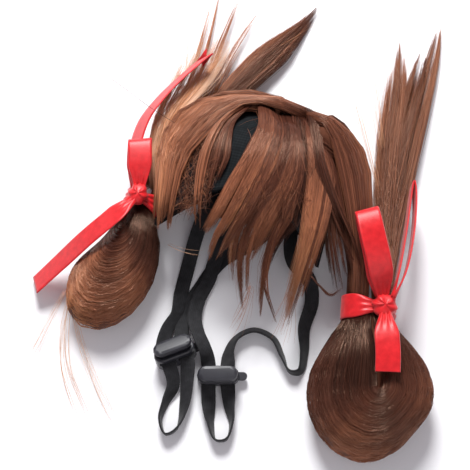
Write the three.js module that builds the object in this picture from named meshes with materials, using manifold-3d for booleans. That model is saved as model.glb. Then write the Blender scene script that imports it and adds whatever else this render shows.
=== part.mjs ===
// A small wig for a dog, lying on its back on a flat surface at z = 0.
// Millimetres, +Z up. +Y points to the crown, -Y out of the opening for the head,
// +Z is the front with the fringe, and X runs from the left pigtail to the right one.
// The origin lies on the surface, under the middle of the cap.

import * as THREE from 'three';
import Module from 'manifold-3d';

const wasm = await Module();
wasm.setup();

// Clearance that neighbouring pieces keep.
const GAP = 0.4;

// Stretch cap: half a shell of an ellipsoid with a short skirt, open towards -Y.
const CAP = { x: 4, y: -8, z: 34.5, halfWidth: 52, crown: 40, halfDepth: 28, wall: 1.8 };
// Where the rim runs: low at the ears, arched over the face and the neck.
const RIM = { face: -26, ear: -54, neck: -14 };

// Hair gathered at each ribbon. The axis points from the cap to the folded loop.
const TIE_LEFT = { x: -60, y: -38, z: 19, axis: -98, halfWidth: 12, halfHeight: 12, hairSide: 1 };
const TIE_RIGHT = { x: 92, y: -69, z: 23, axis: -79, halfWidth: 16.5, halfHeight: 14, hairSide: -1 };

// Locks swept over the crown to the ties: tilt is the angle round the cap, 90 at the front,
// and radius is the half thickness of the lock.
const SWEPT_LEFT = [
  { tilt: 38, radius: 5.5 },
  { tilt: 20, radius: 6.5 },
  { tilt: 1, radius: 6.5 },
  { tilt: -20, radius: 6.5 },
  { tilt: -42, radius: 6 },
];
const SWEPT_RIGHT = [
  { tilt: 56, radius: 7 },
  { tilt: 36, radius: 9 },
  { tilt: 16, radius: 9 },
  { tilt: -4, radius: 9 },
  { tilt: -25, radius: 9 },
  { tilt: -46, radius: 8 },
];
const LIFT_LEFT = 8;
const LIFT_RIGHT = 11;
// The parting, as the angle from the middle of the cap towards the right.
const PARTING_LEFT_EDGE = 18;
const PARTING_RIGHT_EDGE = 25;
// Share of the lift that the swept locks have where they leave the parting.
const PARTING_LIFT = 0.55;

// Fringe: one row for each lock, from its root near the parting to its tip.
const FRINGE = [
  { rootX: -3, rootY: 26, tipX: -16, tipY: -60, tipZ: 45, bow: 3, half: 5 },
  { rootX: 4, rootY: 26, tipX: -10, tipY: -63, tipZ: 44, bow: -1, half: 6 },
  { rootX: 10, rootY: 25, tipX: -1, tipY: -65, tipZ: 41, bow: 5, half: 6.5 },
  { rootX: 14, rootY: 25, tipX: 17, tipY: -88, tipZ: 29, bow: -3, half: 6.5 },
  { rootX: 16, rootY: 25, tipX: 23, tipY: -84, tipZ: 30, bow: 5, half: 5.5 },
  { rootX: 18, rootY: 25, tipX: 39, tipY: -91, tipZ: 26, bow: -1, half: 3 },
  { rootX: 19, rootY: 24, tipX: 34, tipY: -46, tipZ: 54, bow: 3, half: 6 },
  { rootX: 20, rootY: 25, tipX: 38, tipY: -82, tipZ: 29, bow: 14, half: 5.5 },
  { rootX: 21, rootY: 24, tipX: 49, tipY: -88, tipZ: 27, bow: 14, half: 5.5 },
  { rootX: 22, rootY: 24, tipX: 61, tipY: -60, tipZ: 31, bow: 5, half: 6 },
  { rootX: 23, rootY: 24, tipX: 71, tipY: -57, tipZ: 36, bow: 4, half: 6.5 },
];
const FRINGE_HALF_THICKNESS = 3;
const FRINGE_LIFT = 4.4;
const FRINGE_PAD = { x: 10, y: 22, halfX: 17, halfY: 6, halfZ: 4.5 };

// Locks that hang from the left sweep and leave a strip of the cap bare beside the fringe.
const LEFT_COVER = [
  { rootX: -10, rootY: 27, tipX: -39, tipY: -50, tipZ: 48, bow: -15, half: 6 },
  { rootX: -31, rootY: 19, tipX: -21, tipY: -55, tipZ: 42, bow: -3, half: 4 },
  { rootX: -8, rootY: 27, tipX: -17, tipY: -50, tipZ: 50, bow: -6, half: 4 },
];

// Folded loops of the pigtails, by sections along the axis of the tie.
const LOOP_LEFT = [
  { along: 0.8, shift: 0, half: 10.5, height: 10.5, z: 19 },
  { along: 8.5, shift: 0.6, half: 10.7, height: 10.5, z: 18.8 },
  { along: 16, shift: 3, half: 14.5, height: 13.5, z: 18 },
  { along: 27, shift: 4.8, half: 17.6, height: 16, z: 17.5 },
  { along: 38, shift: 3.8, half: 21.2, height: 17.5, z: 17 },
  { along: 50, shift: 1.4, half: 24.2, height: 18, z: 17 },
  { along: 60, shift: -0.3, half: 23.9, height: 17.5, z: 16.5 },
  { along: 69, shift: -1, half: 21.4, height: 16.5, z: 15.5 },
  { along: 76, shift: -2, half: 17.6, height: 14.5, z: 14 },
  { along: 81.5, shift: -3, half: 12.6, height: 11, z: 11.5 },
  { along: 85, shift: -3.6, half: 6, height: 6, z: 9.5 },
];
const LOOP_RIGHT = [
  { along: 0.8, shift: 0, half: 13.3, height: 12.3, z: 23 },
  { along: 8.5, shift: 0, half: 13.8, height: 12.6, z: 22.8 },
  { along: 15, shift: 0.8, half: 21.5, height: 16, z: 21.8 },
  { along: 22, shift: 2.2, half: 27, height: 19, z: 20.8 },
  { along: 31, shift: 3.5, half: 33, height: 21.5, z: 20 },
  { along: 42, shift: 3.7, half: 37.5, height: 22.8, z: 20 },
  { along: 54, shift: 3.6, half: 38.4, height: 23, z: 19.5 },
  { along: 64, shift: 2.4, half: 35.4, height: 22.3, z: 18.8 },
  { along: 73, shift: 1, half: 30, height: 20.5, z: 17.5 },
  { along: 81, shift: 0.9, half: 23.8, height: 17.5, z: 15.5 },
  { along: 87, shift: 1, half: 15.8, height: 12.5, z: 12.5 },
  { along: 90.5, shift: 1.6, half: 7.5, height: 7, z: 10 },
];
const LOOP_LOCKS = 5;
const LOOP_RIDGE = 0.05;

// Free ends of the pigtails: a trunk from the tie, then one row for each tip.
const ENDS_LEFT = {
  trunk: [
    { x: -50, y: -6, z: 10, half: 9, height: 9 },
    { x: -46, y: 24, z: 8, half: 12, height: 8.5 },
    { x: -39, y: 50, z: 6, half: 16, height: 7 },
    { x: -33, y: 66, z: 4.5, half: 12, height: 4 },
  ],
  tips: [
    { rootX: -48, rootY: 34, tipX: -60, tipY: 110, tipZ: 2.5, half: 5.5 },
    { rootX: -43, rootY: 40, tipX: -44, tipY: 110, tipZ: 2.5, half: 5.5 },
    { rootX: -38, rootY: 42, tipX: -29, tipY: 106, tipZ: 2.5, half: 6 },
    { rootX: -32, rootY: 42, tipX: 4, tipY: 109, tipZ: 2.5, half: 9 },
  ],
};
const ENDS_RIGHT = {
  trunk: [
    { x: 93, y: -24, z: 13, half: 10, height: 11 },
    { x: 89.5, y: 12, z: 10, half: 13.5, height: 10 },
    { x: 86.5, y: 52, z: 6.5, half: 14, height: 7 },
    { x: 84, y: 74, z: 4.5, half: 10, height: 4 },
  ],
  tips: [
    { rootX: 80, rootY: 42, tipX: 71, tipY: 107, tipZ: 2.5, half: 7 },
    { rootX: 85, rootY: 44, tipX: 79, tipY: 93, tipZ: 2.5, half: 5.5 },
    { rootX: 88, rootY: 44, tipX: 88, tipY: 110, tipZ: 2.5, half: 6 },
    { rootX: 92, rootY: 42, tipX: 94, tipY: 124, tipZ: 2.5, half: 7.5 },
  ],
};

// Mat of hair under the cap: strips side by side across the back of the head.
const MAT_PITCH = 12;
const MAT_STRIPS = [
  { y: -24, from: -30, to: 38 },
  { y: -12, from: -36, to: 44 },
  { y: 0, from: -36, to: 44 },
  { y: 12, from: -31, to: 39 },
];
const MAT_HALF_THICKNESS = 6;
const MAT_MIDDLE = 2.8;

// Satin ribbon.
const RIBBON_WIDTH = 15;
const RIBBON_THICKNESS = 1;

// Flat elastic chin straps, from rim to rim. Roll is the angle of the flat: 0 lies, 90 stands on edge.
const STRAP_WIDTH = 9;
const STRAP_THICKNESS = 1.2;
const STRAP_FRONT = [
  { x: 2, y: -8, z: 9.7, roll: 0 },
  { x: 1, y: -24, z: 9.7, roll: 0 },
  { x: -4, y: -42, z: 8, roll: 0 },
  { x: -8, y: -57, z: 4.6, roll: 0 },
  { x: -8.8, y: -72, z: 3.2, roll: 0 },
  { x: -11.6, y: -86, z: 3.4, roll: 0 },
  { x: -10.8, y: -98, z: 7, roll: 10 },
  { x: -5.5, y: -108.5, z: 13.4, roll: 25 },
  { x: 1, y: -116.5, z: 13.4, roll: 28 },
  { x: 5.4, y: -124.8, z: 7, roll: 0 },
  { x: 7.2, y: -131.5, z: 6.8, roll: 0 },
  { x: 8.9, y: -137.8, z: 6.8, roll: 0 },
  { x: 11.5, y: -147, z: 5.2, roll: 12 },
  { x: 15.5, y: -158, z: 4.6, roll: 62 },
  { x: 21.5, y: -168, z: 5, roll: 88 },
  { x: 27.8, y: -166, z: 5, roll: 92 },
  { x: 28.4, y: -156, z: 5, roll: 78 },
  { x: 24, y: -145, z: 5.4, roll: 40 },
  { x: 20.5, y: -134.7, z: 6.8, roll: 0 },
  { x: 18.8, y: -128.5, z: 6.8, roll: 0 },
  { x: 17.1, y: -122.2, z: 6.8, roll: 0 },
  { x: 15.4, y: -113.5, z: 5.4, roll: 48 },
  { x: 17.5, y: -104, z: 4.9, roll: 66 },
  { x: 27, y: -96.2, z: 4.8, roll: 64 },
  { x: 40, y: -98.2, z: 4.8, roll: 64 },
  { x: 48, y: -107.4, z: 4.8, roll: 70 },
  { x: 55, y: -115.6, z: 5, roll: 92 },
  { x: 61, y: -114, z: 5, roll: 112 },
  { x: 60.8, y: -102, z: 4.8, roll: 125 },
  { x: 57, y: -87, z: 3.6, roll: 150 },
  { x: 57.4, y: -69, z: 4.5, roll: 178 },
  { x: 52, y: -57, z: 10, roll: 190 },
  { x: 40, y: -50, z: 15.4, roll: 200 },
  { x: 35, y: -38, z: 16.4, roll: 203 },
  { x: 35, y: -18, z: 16.2, roll: 203 },
];
const STRAP_BACK = [
  { x: -22, y: -14, z: 14.2, roll: 17 },
  { x: -22.2, y: -34, z: 13.8, roll: 16 },
  { x: -23.6, y: -52, z: 8, roll: 6 },
  { x: -23.8, y: -67, z: 2.6, roll: 0 },
  { x: -23.6, y: -84, z: 1.2, roll: 0 },
  { x: -22.5, y: -99, z: 3.4, roll: 40 },
  { x: -25.4, y: -110, z: 4.8, roll: 30 },
  { x: -24.7, y: -122.3, z: 6.1, roll: 0 },
  { x: -21.2, y: -127.2, z: 8.5, roll: 0 },
  { x: -17.6, y: -132, z: 10.9, roll: 0 },
  { x: -12.4, y: -142, z: 6.4, roll: 30 },
  { x: -14.2, y: -154, z: 4.6, roll: 66 },
  { x: -14.4, y: -165, z: 5, roll: 82 },
  { x: -9, y: -172.6, z: 5, roll: 90 },
  { x: -3.2, y: -167.4, z: 5, roll: 90 },
  { x: -2.6, y: -152, z: 4.4, roll: 45 },
  { x: -5, y: -137, z: 7.6, roll: 20 },
  { x: -7.9, y: -125, z: 10.9, roll: 0 },
  { x: -11.5, y: -120.1, z: 8.5, roll: 0 },
  { x: -15, y: -115.2, z: 6.1, roll: 0 },
  { x: -17, y: -104, z: 3, roll: 14 },
  { x: -17.4, y: -97, z: 0.8, roll: 0 },
  { x: -16, y: -88, z: 0.8, roll: 0 },
  { x: -12.6, y: -78, z: 0.8, roll: 0 },
  { x: -9, y: -67, z: 0.8, roll: 0 },
  { x: -3, y: -56, z: 1.2, roll: 0 },
  { x: 8, y: -46, z: 4, roll: 0 },
  { x: 18, y: -36, z: 10, roll: 8 },
  { x: 22, y: -26, z: 12, roll: 11 },
  { x: 22, y: -12, z: 12, roll: 11 },
];

// Two-hole sprung cord locks. The strap runs through both slots at one height.
const LOCK = {
  length: 26,
  breadth: 11,
  height: 11.5,
  slotPitch: 12,
  slotWidth: 10.2,
  slotHeight: 3,
  strapHeight: 6.8,
  pocketLength: 21.4,
  pocketBreadth: 6.4,
  floor: 1.2,
  travel: 2.5,
  headLength: 24.5,
  headBreadth: 10,
  headHeight: 4.6,
  headRounding: 2.1,
  lowerBar: 1.8,
  lugLength: 9,
  lugBreadth: 5,
  lugHeight: 3.6,
  lugReach: 5,
};
const LOCK_FRONT_PLACE = { x: 13, y: -130, z: 0, turn: 15, lean: 0 };
const LOCK_BACK_PLACE = { x: -14.8, y: -125.7, z: 2.2, turn: 36, lean: -22 };

const UP = new THREE.Vector3(0, 0, 1);
const rad = THREE.MathUtils.degToRad;
const lerp = THREE.MathUtils.lerp;

// Closed geometry from rings of points: walls between the rings and a fan on each end.
function geometryFromRings(rings, closedLoop = false) {
  const sides = rings[0].length;
  const positions = [];
  const triangles = [];
  for (const ring of rings) {
    for (const point of ring) positions.push(point.x, point.y, point.z);
  }
  const spans = closedLoop ? rings.length : rings.length - 1;
  for (let i = 0; i < spans; i += 1) {
    const here = i * sides;
    const next = ((i + 1) % rings.length) * sides;
    for (let j = 0; j < sides; j += 1) {
      const k = (j + 1) % sides;
      triangles.push(here + j, here + k, next + j, here + k, next + k, next + j);
    }
  }
  if (!closedLoop) {
    const last = (rings.length - 1) * sides;
    const start = addCentre(positions, rings[0]);
    const end = addCentre(positions, rings[rings.length - 1]);
    for (let j = 0; j < sides; j += 1) {
      const k = (j + 1) % sides;
      triangles.push(start, k, j, end, last + j, last + k);
    }
  }
  const geometry = new THREE.BufferGeometry();
  geometry.setAttribute('position', new THREE.Float32BufferAttribute(positions, 3));
  geometry.setIndex(triangles);
  return geometry;
}

function addCentre(positions, ring) {
  const centre = new THREE.Vector3();
  for (const point of ring) centre.addScaledVector(point, 1 / ring.length);
  positions.push(centre.x, centre.y, centre.z);
  return positions.length / 3 - 1;
}

function toSolid(geometry) {
  return new wasm.Manifold(new wasm.Mesh({
    numProp: 3,
    vertProperties: new Float32Array(geometry.getAttribute('position').array),
    triVerts: new Uint32Array(geometry.index.array),
  }));
}

function toGeometry(solid) {
  const mesh = solid.getMesh();
  const geometry = new THREE.BufferGeometry();
  const positions = [];
  for (let i = 0; i < mesh.vertProperties.length; i += mesh.numProp) {
    positions.push(mesh.vertProperties[i], mesh.vertProperties[i + 1], mesh.vertProperties[i + 2]);
  }
  geometry.setAttribute('position', new THREE.Float32BufferAttribute(positions, 3));
  geometry.setIndex(Array.from(mesh.triVerts));
  return geometry;
}

function fuse(geometries) {
  return geometries.map(toSolid).reduce((sum, solid) => sum.add(solid));
}

// A lock of hair: elliptical sections along a smooth path through the rows.
function lockOfHair(rows, { sides = 7, steps = 8, grow = 0 } = {}) {
  const path = new THREE.CatmullRomCurve3(rows.map((row) => new THREE.Vector3(row.x, row.y, row.z)));
  const rings = [];
  for (let i = 0; i <= steps; i += 1) {
    const t = i / steps;
    const place = t * (rows.length - 1);
    const index = Math.min(Math.floor(place), rows.length - 2);
    const share = place - index;
    const half = lerp(rows[index].half, rows[index + 1].half, share) + grow;
    const height = lerp(rows[index].height, rows[index + 1].height, share) + grow;
    const along = path.getTangent(t);
    const centre = path.getPoint(t);
    if (i === 0) centre.addScaledVector(along, -grow);
    if (i === steps) centre.addScaledVector(along, grow);
    const across = new THREE.Vector3().crossVectors(along, UP).normalize();
    const normal = new THREE.Vector3().crossVectors(along, across);
    const ring = [];
    for (let j = 0; j < sides; j += 1) {
      const angle = (2 * Math.PI * (j + 0.5)) / sides;
      const point = centre.clone();
      point.addScaledVector(across, half * Math.cos(angle));
      point.addScaledVector(normal, height * Math.sin(angle));
      point.z = Math.max(point.z, 0);
      ring.push(point);
    }
    rings.push(ring);
  }
  return geometryFromRings(rings);
}

// Surface of the cap: tilt goes round the line between the ears, 90 at the front and -90 at the back.
// Turn goes from the left ear, -90, over the crown to the right ear, 90.
function onCrown(tilt, turn, lift) {
  const towardsEar = Math.sin(rad(turn));
  const overTop = Math.cos(rad(turn));
  return {
    x: CAP.x + (CAP.halfWidth + lift) * towardsEar,
    y: CAP.y + (CAP.crown + lift) * overTop * Math.cos(rad(tilt)),
    z: CAP.z + (CAP.halfDepth + lift) * overTop * Math.sin(rad(tilt)),
  };
}

// Height of the front of the cap over a point of the plan.
function frontOfCap(x, y) {
  const sideways = (x - CAP.x) / CAP.halfWidth;
  const upwards = Math.max(y - CAP.y, 0) / CAP.crown;
  return CAP.z + CAP.halfDepth * Math.sqrt(Math.max(1 - sideways * sideways - upwards * upwards, 0.05));
}

function rimAt(angle) {
  const even = (RIM.face + RIM.neck) / 2;
  const middle = (even + RIM.ear) / 2;
  return middle + ((RIM.face - RIM.neck) / 2) * Math.cos(angle) + (even - middle) * Math.cos(2 * angle);
}

// Rings of the cap from the rim to the crown, drawn in by inset.
function capRings(inset, around) {
  const rings = [];
  const skirt = [0, 0.5];
  const dome = [0, 20, 38, 55, 70, 82];
  const lowered = Math.min(inset, 0);
  for (const share of skirt) {
    rings.push(capRing((angle) => lerp(rimAt(angle) + lowered, CAP.y, share), 1, inset, around));
  }
  for (const rise of dome) {
    const y = CAP.y + (CAP.crown - inset) * Math.sin(rad(rise));
    rings.push(capRing(() => y, Math.cos(rad(rise)), inset, around));
  }
  return rings;
}

function capRing(heightAt, scale, inset, around) {
  const ring = [];
  for (let j = 0; j < around; j += 1) {
    const angle = (2 * Math.PI * j) / around;
    ring.push(new THREE.Vector3(
      CAP.x + (CAP.halfWidth - inset) * scale * Math.sin(angle),
      heightAt(angle),
      CAP.z + (CAP.halfDepth - inset) * scale * Math.cos(angle),
    ));
  }
  return ring;
}

function makeCap() {
  const around = 20;
  const outer = capRings(0, around);
  const inner = capRings(CAP.wall, around).reverse();
  return geometryFromRings([...inner, ...outer]);
}

// The cap with its hollow filled and its outside grown, to keep hair clear of it.
function capFilled() {
  return toSolid(geometryFromRings(capRings(-GAP, 20)));
}

// A point in the frame of a tie: along its axis and sideways to the right.
function atTie(tie, along, sideways, z) {
  const direction = rad(tie.axis);
  return {
    x: tie.x + along * Math.cos(direction) - sideways * Math.sin(direction),
    y: tie.y + along * Math.sin(direction) + sideways * Math.cos(direction),
    z,
  };
}

// Hair of one side where it enters the tie, in its half of the ribbon.
function neckRows(tie, side, grow = 0) {
  const half = tie.halfWidth / 2 - 1 + grow;
  const height = tie.halfHeight * 0.72 + grow;
  const sideways = side * (tie.halfWidth / 2 - 0.2);
  return [
    { ...atTie(tie, -30, sideways * 1.5, tie.z + 6), half: half + 5, height: height + 2 },
    { ...atTie(tie, -14, sideways, tie.z + 1), half, height },
    { ...atTie(tie, -GAP, sideways, tie.z), half, height },
  ];
}

function sweptLocks(tie, table, partingAngle, sign, lift, grow) {
  const neck = neckRows(tie, tie.hairSide);
  const gathered = neck[1];
  return table.map((lock) => {
    const rows = [0, 0.34, 0.68, 1].map((share) => {
      const turn = lerp(partingAngle, sign * 62, share);
      const raised = lift * Math.min(lerp(PARTING_LIFT, 1, share / 0.34), 1);
      const place = onCrown(lock.tilt * (1 - 0.25 * share), turn, raised);
      return { ...place, half: lock.radius, height: lock.radius };
    });
    const last = rows[rows.length - 1];
    rows.push({
      x: lerp(last.x, gathered.x, 0.55),
      y: lerp(last.y, gathered.y, 0.5),
      z: lerp(last.z, gathered.z, 0.5),
      half: lock.radius,
      height: lock.radius,
    });
    rows.push({ ...gathered, half: lock.radius * 0.7, height: lock.radius * 0.9 });
    return lockOfHair(rows, { sides: 6, steps: 5, grow });
  });
}

// The root pad or stub under the crown that the swept locks grow from.
function crownStrip(table, turn, lift, grow) {
  const rows = [table[0], table[Math.floor(table.length / 2)], table[table.length - 1]].map((lock) => ({
    ...onCrown(lock.tilt, turn, lift * PARTING_LIFT), half: 5, height: 4,
  }));
  return lockOfHair(rows, { sides: 6, steps: 5, grow });
}

function makeSideHair(tie, table, partingAngle, sign, lift, extra = []) {
  const neck = lockOfHair(neckRows(tie, tie.hairSide), { sides: 8, steps: 4 });
  const locks = sweptLocks(tie, table, partingAngle, sign, lift, 0);
  const strip = crownStrip(table, partingAngle + sign * 6, lift, 0);
  return fuse([neck, strip, ...locks, ...extra]).subtract(capFilled());
}

// A lock that lies on the front of the cap and falls past its rim to its tip.
function fallingLock(row, grow = 0) {
  const rows = [];
  const stations = [0, 0.2, 0.4, 0.6, 0.8, 1];
  for (const share of stations) {
    const bow = row.bow * 4 * share * (1 - share);
    const x = lerp(row.rootX, row.tipX, share) + bow;
    const y = lerp(row.rootY, row.tipY, share);
    const resting = frontOfCap(x, y) + FRINGE_LIFT;
    const rim = rimAt(Math.atan2(x - CAP.x, resting - CAP.z));
    const falling = y < rim ? ((rim - y) / (rim - row.tipY)) ** 1.4 : 0;
    const taper = share < 0.3 ? lerp(0.7, 1, share / 0.3) : lerp(1, 0.12, ((share - 0.3) / 0.7) ** 3);
    rows.push({
      x,
      y,
      z: lerp(resting, row.tipZ, falling),
      half: row.half * taper,
      height: FRINGE_HALF_THICKNESS * taper,
    });
  }
  return lockOfHair(rows, { sides: 5, steps: 5, grow });
}

function ellipsoid(centre, halfX, halfY, halfZ, across = 12, down = 8) {
  const rings = [];
  for (let i = 1; i < down; i += 1) {
    const angle = (Math.PI * i) / down - Math.PI / 2;
    const ring = [];
    for (let j = 0; j < across; j += 1) {
      const around = (2 * Math.PI * j) / across;
      ring.push(new THREE.Vector3(
        centre.x + halfX * Math.cos(angle) * Math.cos(around),
        centre.y + halfY * Math.cos(angle) * Math.sin(around),
        centre.z + halfZ * Math.sin(angle),
      ));
    }
    rings.push(ring);
  }
  return geometryFromRings(rings);
}

function makeFringe(neighbours) {
  const padHeight = frontOfCap(FRINGE_PAD.x, FRINGE_PAD.y) + FRINGE_LIFT - 1;
  const pad = ellipsoid(
    { x: FRINGE_PAD.x, y: FRINGE_PAD.y, z: padHeight },
    FRINGE_PAD.halfX, FRINGE_PAD.halfY, FRINGE_PAD.halfZ,
  );
  let solid = fuse([pad, ...FRINGE.map((row) => fallingLock(row))]).subtract(capFilled());
  for (const neighbour of neighbours) solid = solid.subtract(neighbour);
  return solid;
}

// A folded loop: one body with a ridge for each lock and a valley where its two legs meet.
function makeLoop(tie, sections) {
  const around = 20;
  const rings = sections.map((section) => {
    const ring = [];
    const body = THREE.MathUtils.smoothstep(section.along, 5, 40);
    for (let j = 0; j < around; j += 1) {
      const angle = (2 * Math.PI * j) / around;
      const ridge = 1 + LOOP_RIDGE * body * Math.cos(LOOP_LOCKS * angle);
      const sideways = section.half * ridge * Math.cos(angle);
      const valley = 1 - 0.18 * body * Math.exp(-((sideways / (0.2 * section.half)) ** 2));
      const rise = section.height * ridge * valley * Math.sin(angle);
      const point = atTie(tie, section.along, section.shift + sideways, Math.max(section.z + rise, 0));
      ring.push(new THREE.Vector3(point.x, point.y, point.z));
    }
    return ring;
  });
  return geometryFromRings(rings);
}

function makeEnds(tie, ends, neighbours) {
  const base = neckRows(tie, -tie.hairSide, -0.9);
  const trunk = lockOfHair([base[2], { ...base[1], z: tie.z - 1 }, ...ends.trunk], { sides: 7, steps: 8 });
  const spikes = ends.tips.map((tip) => lockOfHair([
    { x: tip.rootX, y: tip.rootY, z: 7, half: tip.half * 0.8, height: 5 },
    {
      x: lerp(tip.rootX, tip.tipX, 0.42),
      y: lerp(tip.rootY, tip.tipY, 0.5),
      z: 5,
      half: tip.half,
      height: 4.5,
    },
    {
      x: lerp(tip.rootX, tip.tipX, 0.76),
      y: lerp(tip.rootY, tip.tipY, 0.8),
      z: 3.5,
      half: tip.half * 0.7,
      height: 3,
    },
    { x: tip.tipX, y: tip.tipY, z: tip.tipZ, half: 0.6, height: 0.6 },
  ], { sides: 6, steps: 4 }));
  let solid = fuse([trunk, ...spikes]);
  for (const neighbour of neighbours) solid = solid.subtract(neighbour);
  return solid;
}

function makeMat(neighbours) {
  const strips = MAT_STRIPS.map((strip) => {
    const middle = (strip.from + strip.to) / 2;
    const size = { half: MAT_PITCH * 0.62, height: MAT_HALF_THICKNESS };
    return lockOfHair([
      { x: strip.from, y: strip.y, z: 5, half: 2.5, height: 2.5 },
      { x: lerp(strip.from, middle, 0.4), y: strip.y, z: MAT_MIDDLE, ...size },
      { x: lerp(strip.to, middle, 0.4), y: strip.y, z: MAT_MIDDLE, ...size },
      { x: strip.to, y: strip.y, z: 5, half: 2.5, height: 2.5 },
    ], { sides: 6, steps: 4 });
  });
  return neighbours.reduce((solid, hair) => solid.subtract(hair), fuse(strips).subtract(capFilled()));
}

// A flat band along a path. widthAt gives the direction of the width at a share of the path.
function flatBand(points, width, thickness, widthAt, steps, closedLoop = false) {
  const path = new THREE.CatmullRomCurve3(points, closedLoop);
  const rings = [];
  const count = closedLoop ? steps - 1 : steps;
  for (let i = 0; i <= count; i += 1) {
    const t = i / steps;
    const centre = path.getPoint(t);
    const along = path.getTangent(t);
    const across = widthAt(t, along).clone();
    across.addScaledVector(along, -across.dot(along)).normalize();
    const normal = new THREE.Vector3().crossVectors(along, across);
    const corners = [[1, -1], [1, 1], [-1, 1], [-1, -1]];
    rings.push(corners.map(([side, face]) => {
      const point = centre.clone();
      point.addScaledVector(across, (side * width) / 2);
      point.addScaledVector(normal, (face * thickness) / 2);
      return point;
    }));
  }
  return geometryFromRings(rings, closedLoop);
}

function vectors(rows) {
  return rows.map(([x, y, z]) => new THREE.Vector3(x, y, z));
}

// Ring of ribbon round the gathered hair.
function ribbonBand(tie) {
  const steps = 18;
  const points = [];
  for (let i = 0; i < steps; i += 1) {
    const angle = (2 * Math.PI * i) / steps;
    const place = atTie(tie, 0, tie.halfWidth * Math.cos(angle), tie.z + tie.halfHeight * Math.sin(angle));
    points.push(new THREE.Vector3(place.x, place.y, place.z));
  }
  const axis = new THREE.Vector3(Math.cos(rad(tie.axis)), Math.sin(rad(tie.axis)), 0);
  return flatBand(points, RIBBON_WIDTH, RIBBON_THICKNESS, () => axis, steps, true);
}

// Each strip of a bow: its route and the directions of its width at both ends.
const BOW_LEFT = {
  knot: { x: -63, y: -37.5, z: 34.2, halfX: 6, halfY: 6.5, halfZ: 4 },
  strips: [
    {
      route: [
        [-63, -34, 34], [-67, -18, 39], [-70.5, -6, 39],
        [-71, -4, 36.5], [-69, -15, 33], [-64, -33, 32.5],
      ],
      width: [[0.94, 0.35, 0], [0.94, 0.35, 0]],
      steps: 10,
    },
    {
      route: [
        [-66, -34, 33], [-73, -12, 31], [-73, 10, 31], [-67, 28, 30], [-60, 43, 28], [-50, 60, 26],
        [-47, 63, 25.5], [-48.5, 56, 25], [-56, 41, 25], [-63, 26, 25], [-68.5, 8, 26],
        [-69.5, -10, 28], [-65, -33, 31.5],
      ],
      width: [[0.55, 0.1, 0.83], [0.55, 0.1, 0.83]],
      steps: 18,
    },
    {
      route: [[-64, -39, 35], [-73.5, -55, 37], [-86, -71, 31], [-100, -88, 18], [-113, -104.5, 7]],
      width: [[0.72, -0.5, 0.48], [0.62, -0.45, 0.64]],
      steps: 8,
    },
  ],
};
const BOW_RIGHT = {
  knot: { x: 100, y: -67, z: 38.6, halfX: 7.5, halfY: 7, halfZ: 4.6 },
  strips: [
    {
      route: [
        [98, -63, 39], [92, -49, 51], [83, -32, 56], [76.5, -19, 55],
        [75, -16, 52.5], [78, -22, 49.5], [88, -42, 46], [97, -62, 37.5],
      ],
      width: [[0.87, 0.5, 0], [0.87, 0.5, 0]],
      steps: 14,
    },
    {
      route: [
        [104, -63, 40.5], [107.5, -45, 36.5], [107, -16, 29], [102.5, 10, 25], [100, 15.5, 25],
        [100.5, 6, 25], [102.5, -18, 29], [103.5, -46, 36.5], [103, -62, 39.5],
      ],
      width: [[0, 0.1, 1], [0, 0.1, 1]],
      steps: 14,
    },
    {
      route: [[101, -69, 39.5], [104, -82, 45.5], [108, -96, 47.5], [110.5, -107, 47]],
      width: [[0.97, 0.23, 0], [0.97, 0.23, 0]],
      steps: 6,
    },
  ],
};

function bowStrips(bow) {
  return bow.strips.map((strip) => {
    const [from, to] = vectors(strip.width);
    const widthAt = (t) => from.clone().lerp(to, t);
    return flatBand(vectors(strip.route), RIBBON_WIDTH, RIBBON_THICKNESS, widthAt, strip.steps);
  });
}

function makeRibbon(tie, bow) {
  const knot = ellipsoid(bow.knot, bow.knot.halfX, bow.knot.halfY, bow.knot.halfZ, 10, 5);
  return fuse([ribbonBand(tie), knot, ...bowStrips(bow)]);
}

function makeStrap(rows, steps) {
  const points = rows.map((row) => new THREE.Vector3(row.x, row.y, row.z));
  const widthAt = (t, along) => {
    const place = t * (rows.length - 1);
    const index = Math.min(Math.floor(place), rows.length - 2);
    const roll = rad(lerp(rows[index].roll, rows[index + 1].roll, place - index));
    const across = new THREE.Vector3().crossVectors(along, UP).normalize();
    const raised = new THREE.Vector3().crossVectors(across, along);
    return across.multiplyScalar(Math.cos(roll)).addScaledVector(raised, Math.sin(roll));
  };
  return flatBand(points, STRAP_WIDTH, STRAP_THICKNESS, widthAt, steps);
}

// Flat bar with round ends, standing on z = from.
function roundedBar(length, breadth, from, height, bevel = 0, bevelSteps = 1) {
  const straight = (length - breadth) / 2;
  const radius = breadth / 2 - bevel;
  const outline = new THREE.Shape();
  outline.absarc(straight, 0, radius, -Math.PI / 2, Math.PI / 2, false);
  outline.absarc(-straight, 0, radius, Math.PI / 2, (3 * Math.PI) / 2, false);
  const geometry = new THREE.ExtrudeGeometry(outline, {
    depth: height - 2 * bevel,
    bevelEnabled: bevel > 0,
    bevelThickness: bevel,
    bevelSize: bevel,
    bevelSegments: bevelSteps,
    curveSegments: 3,
  });
  geometry.translate(0, 0, from + bevel);
  return geometry;
}

function box(sizeX, sizeY, sizeZ, x, y, z) {
  const geometry = new THREE.BoxGeometry(sizeX, sizeY, sizeZ);
  geometry.translate(x, y, z);
  return geometry;
}

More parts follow.
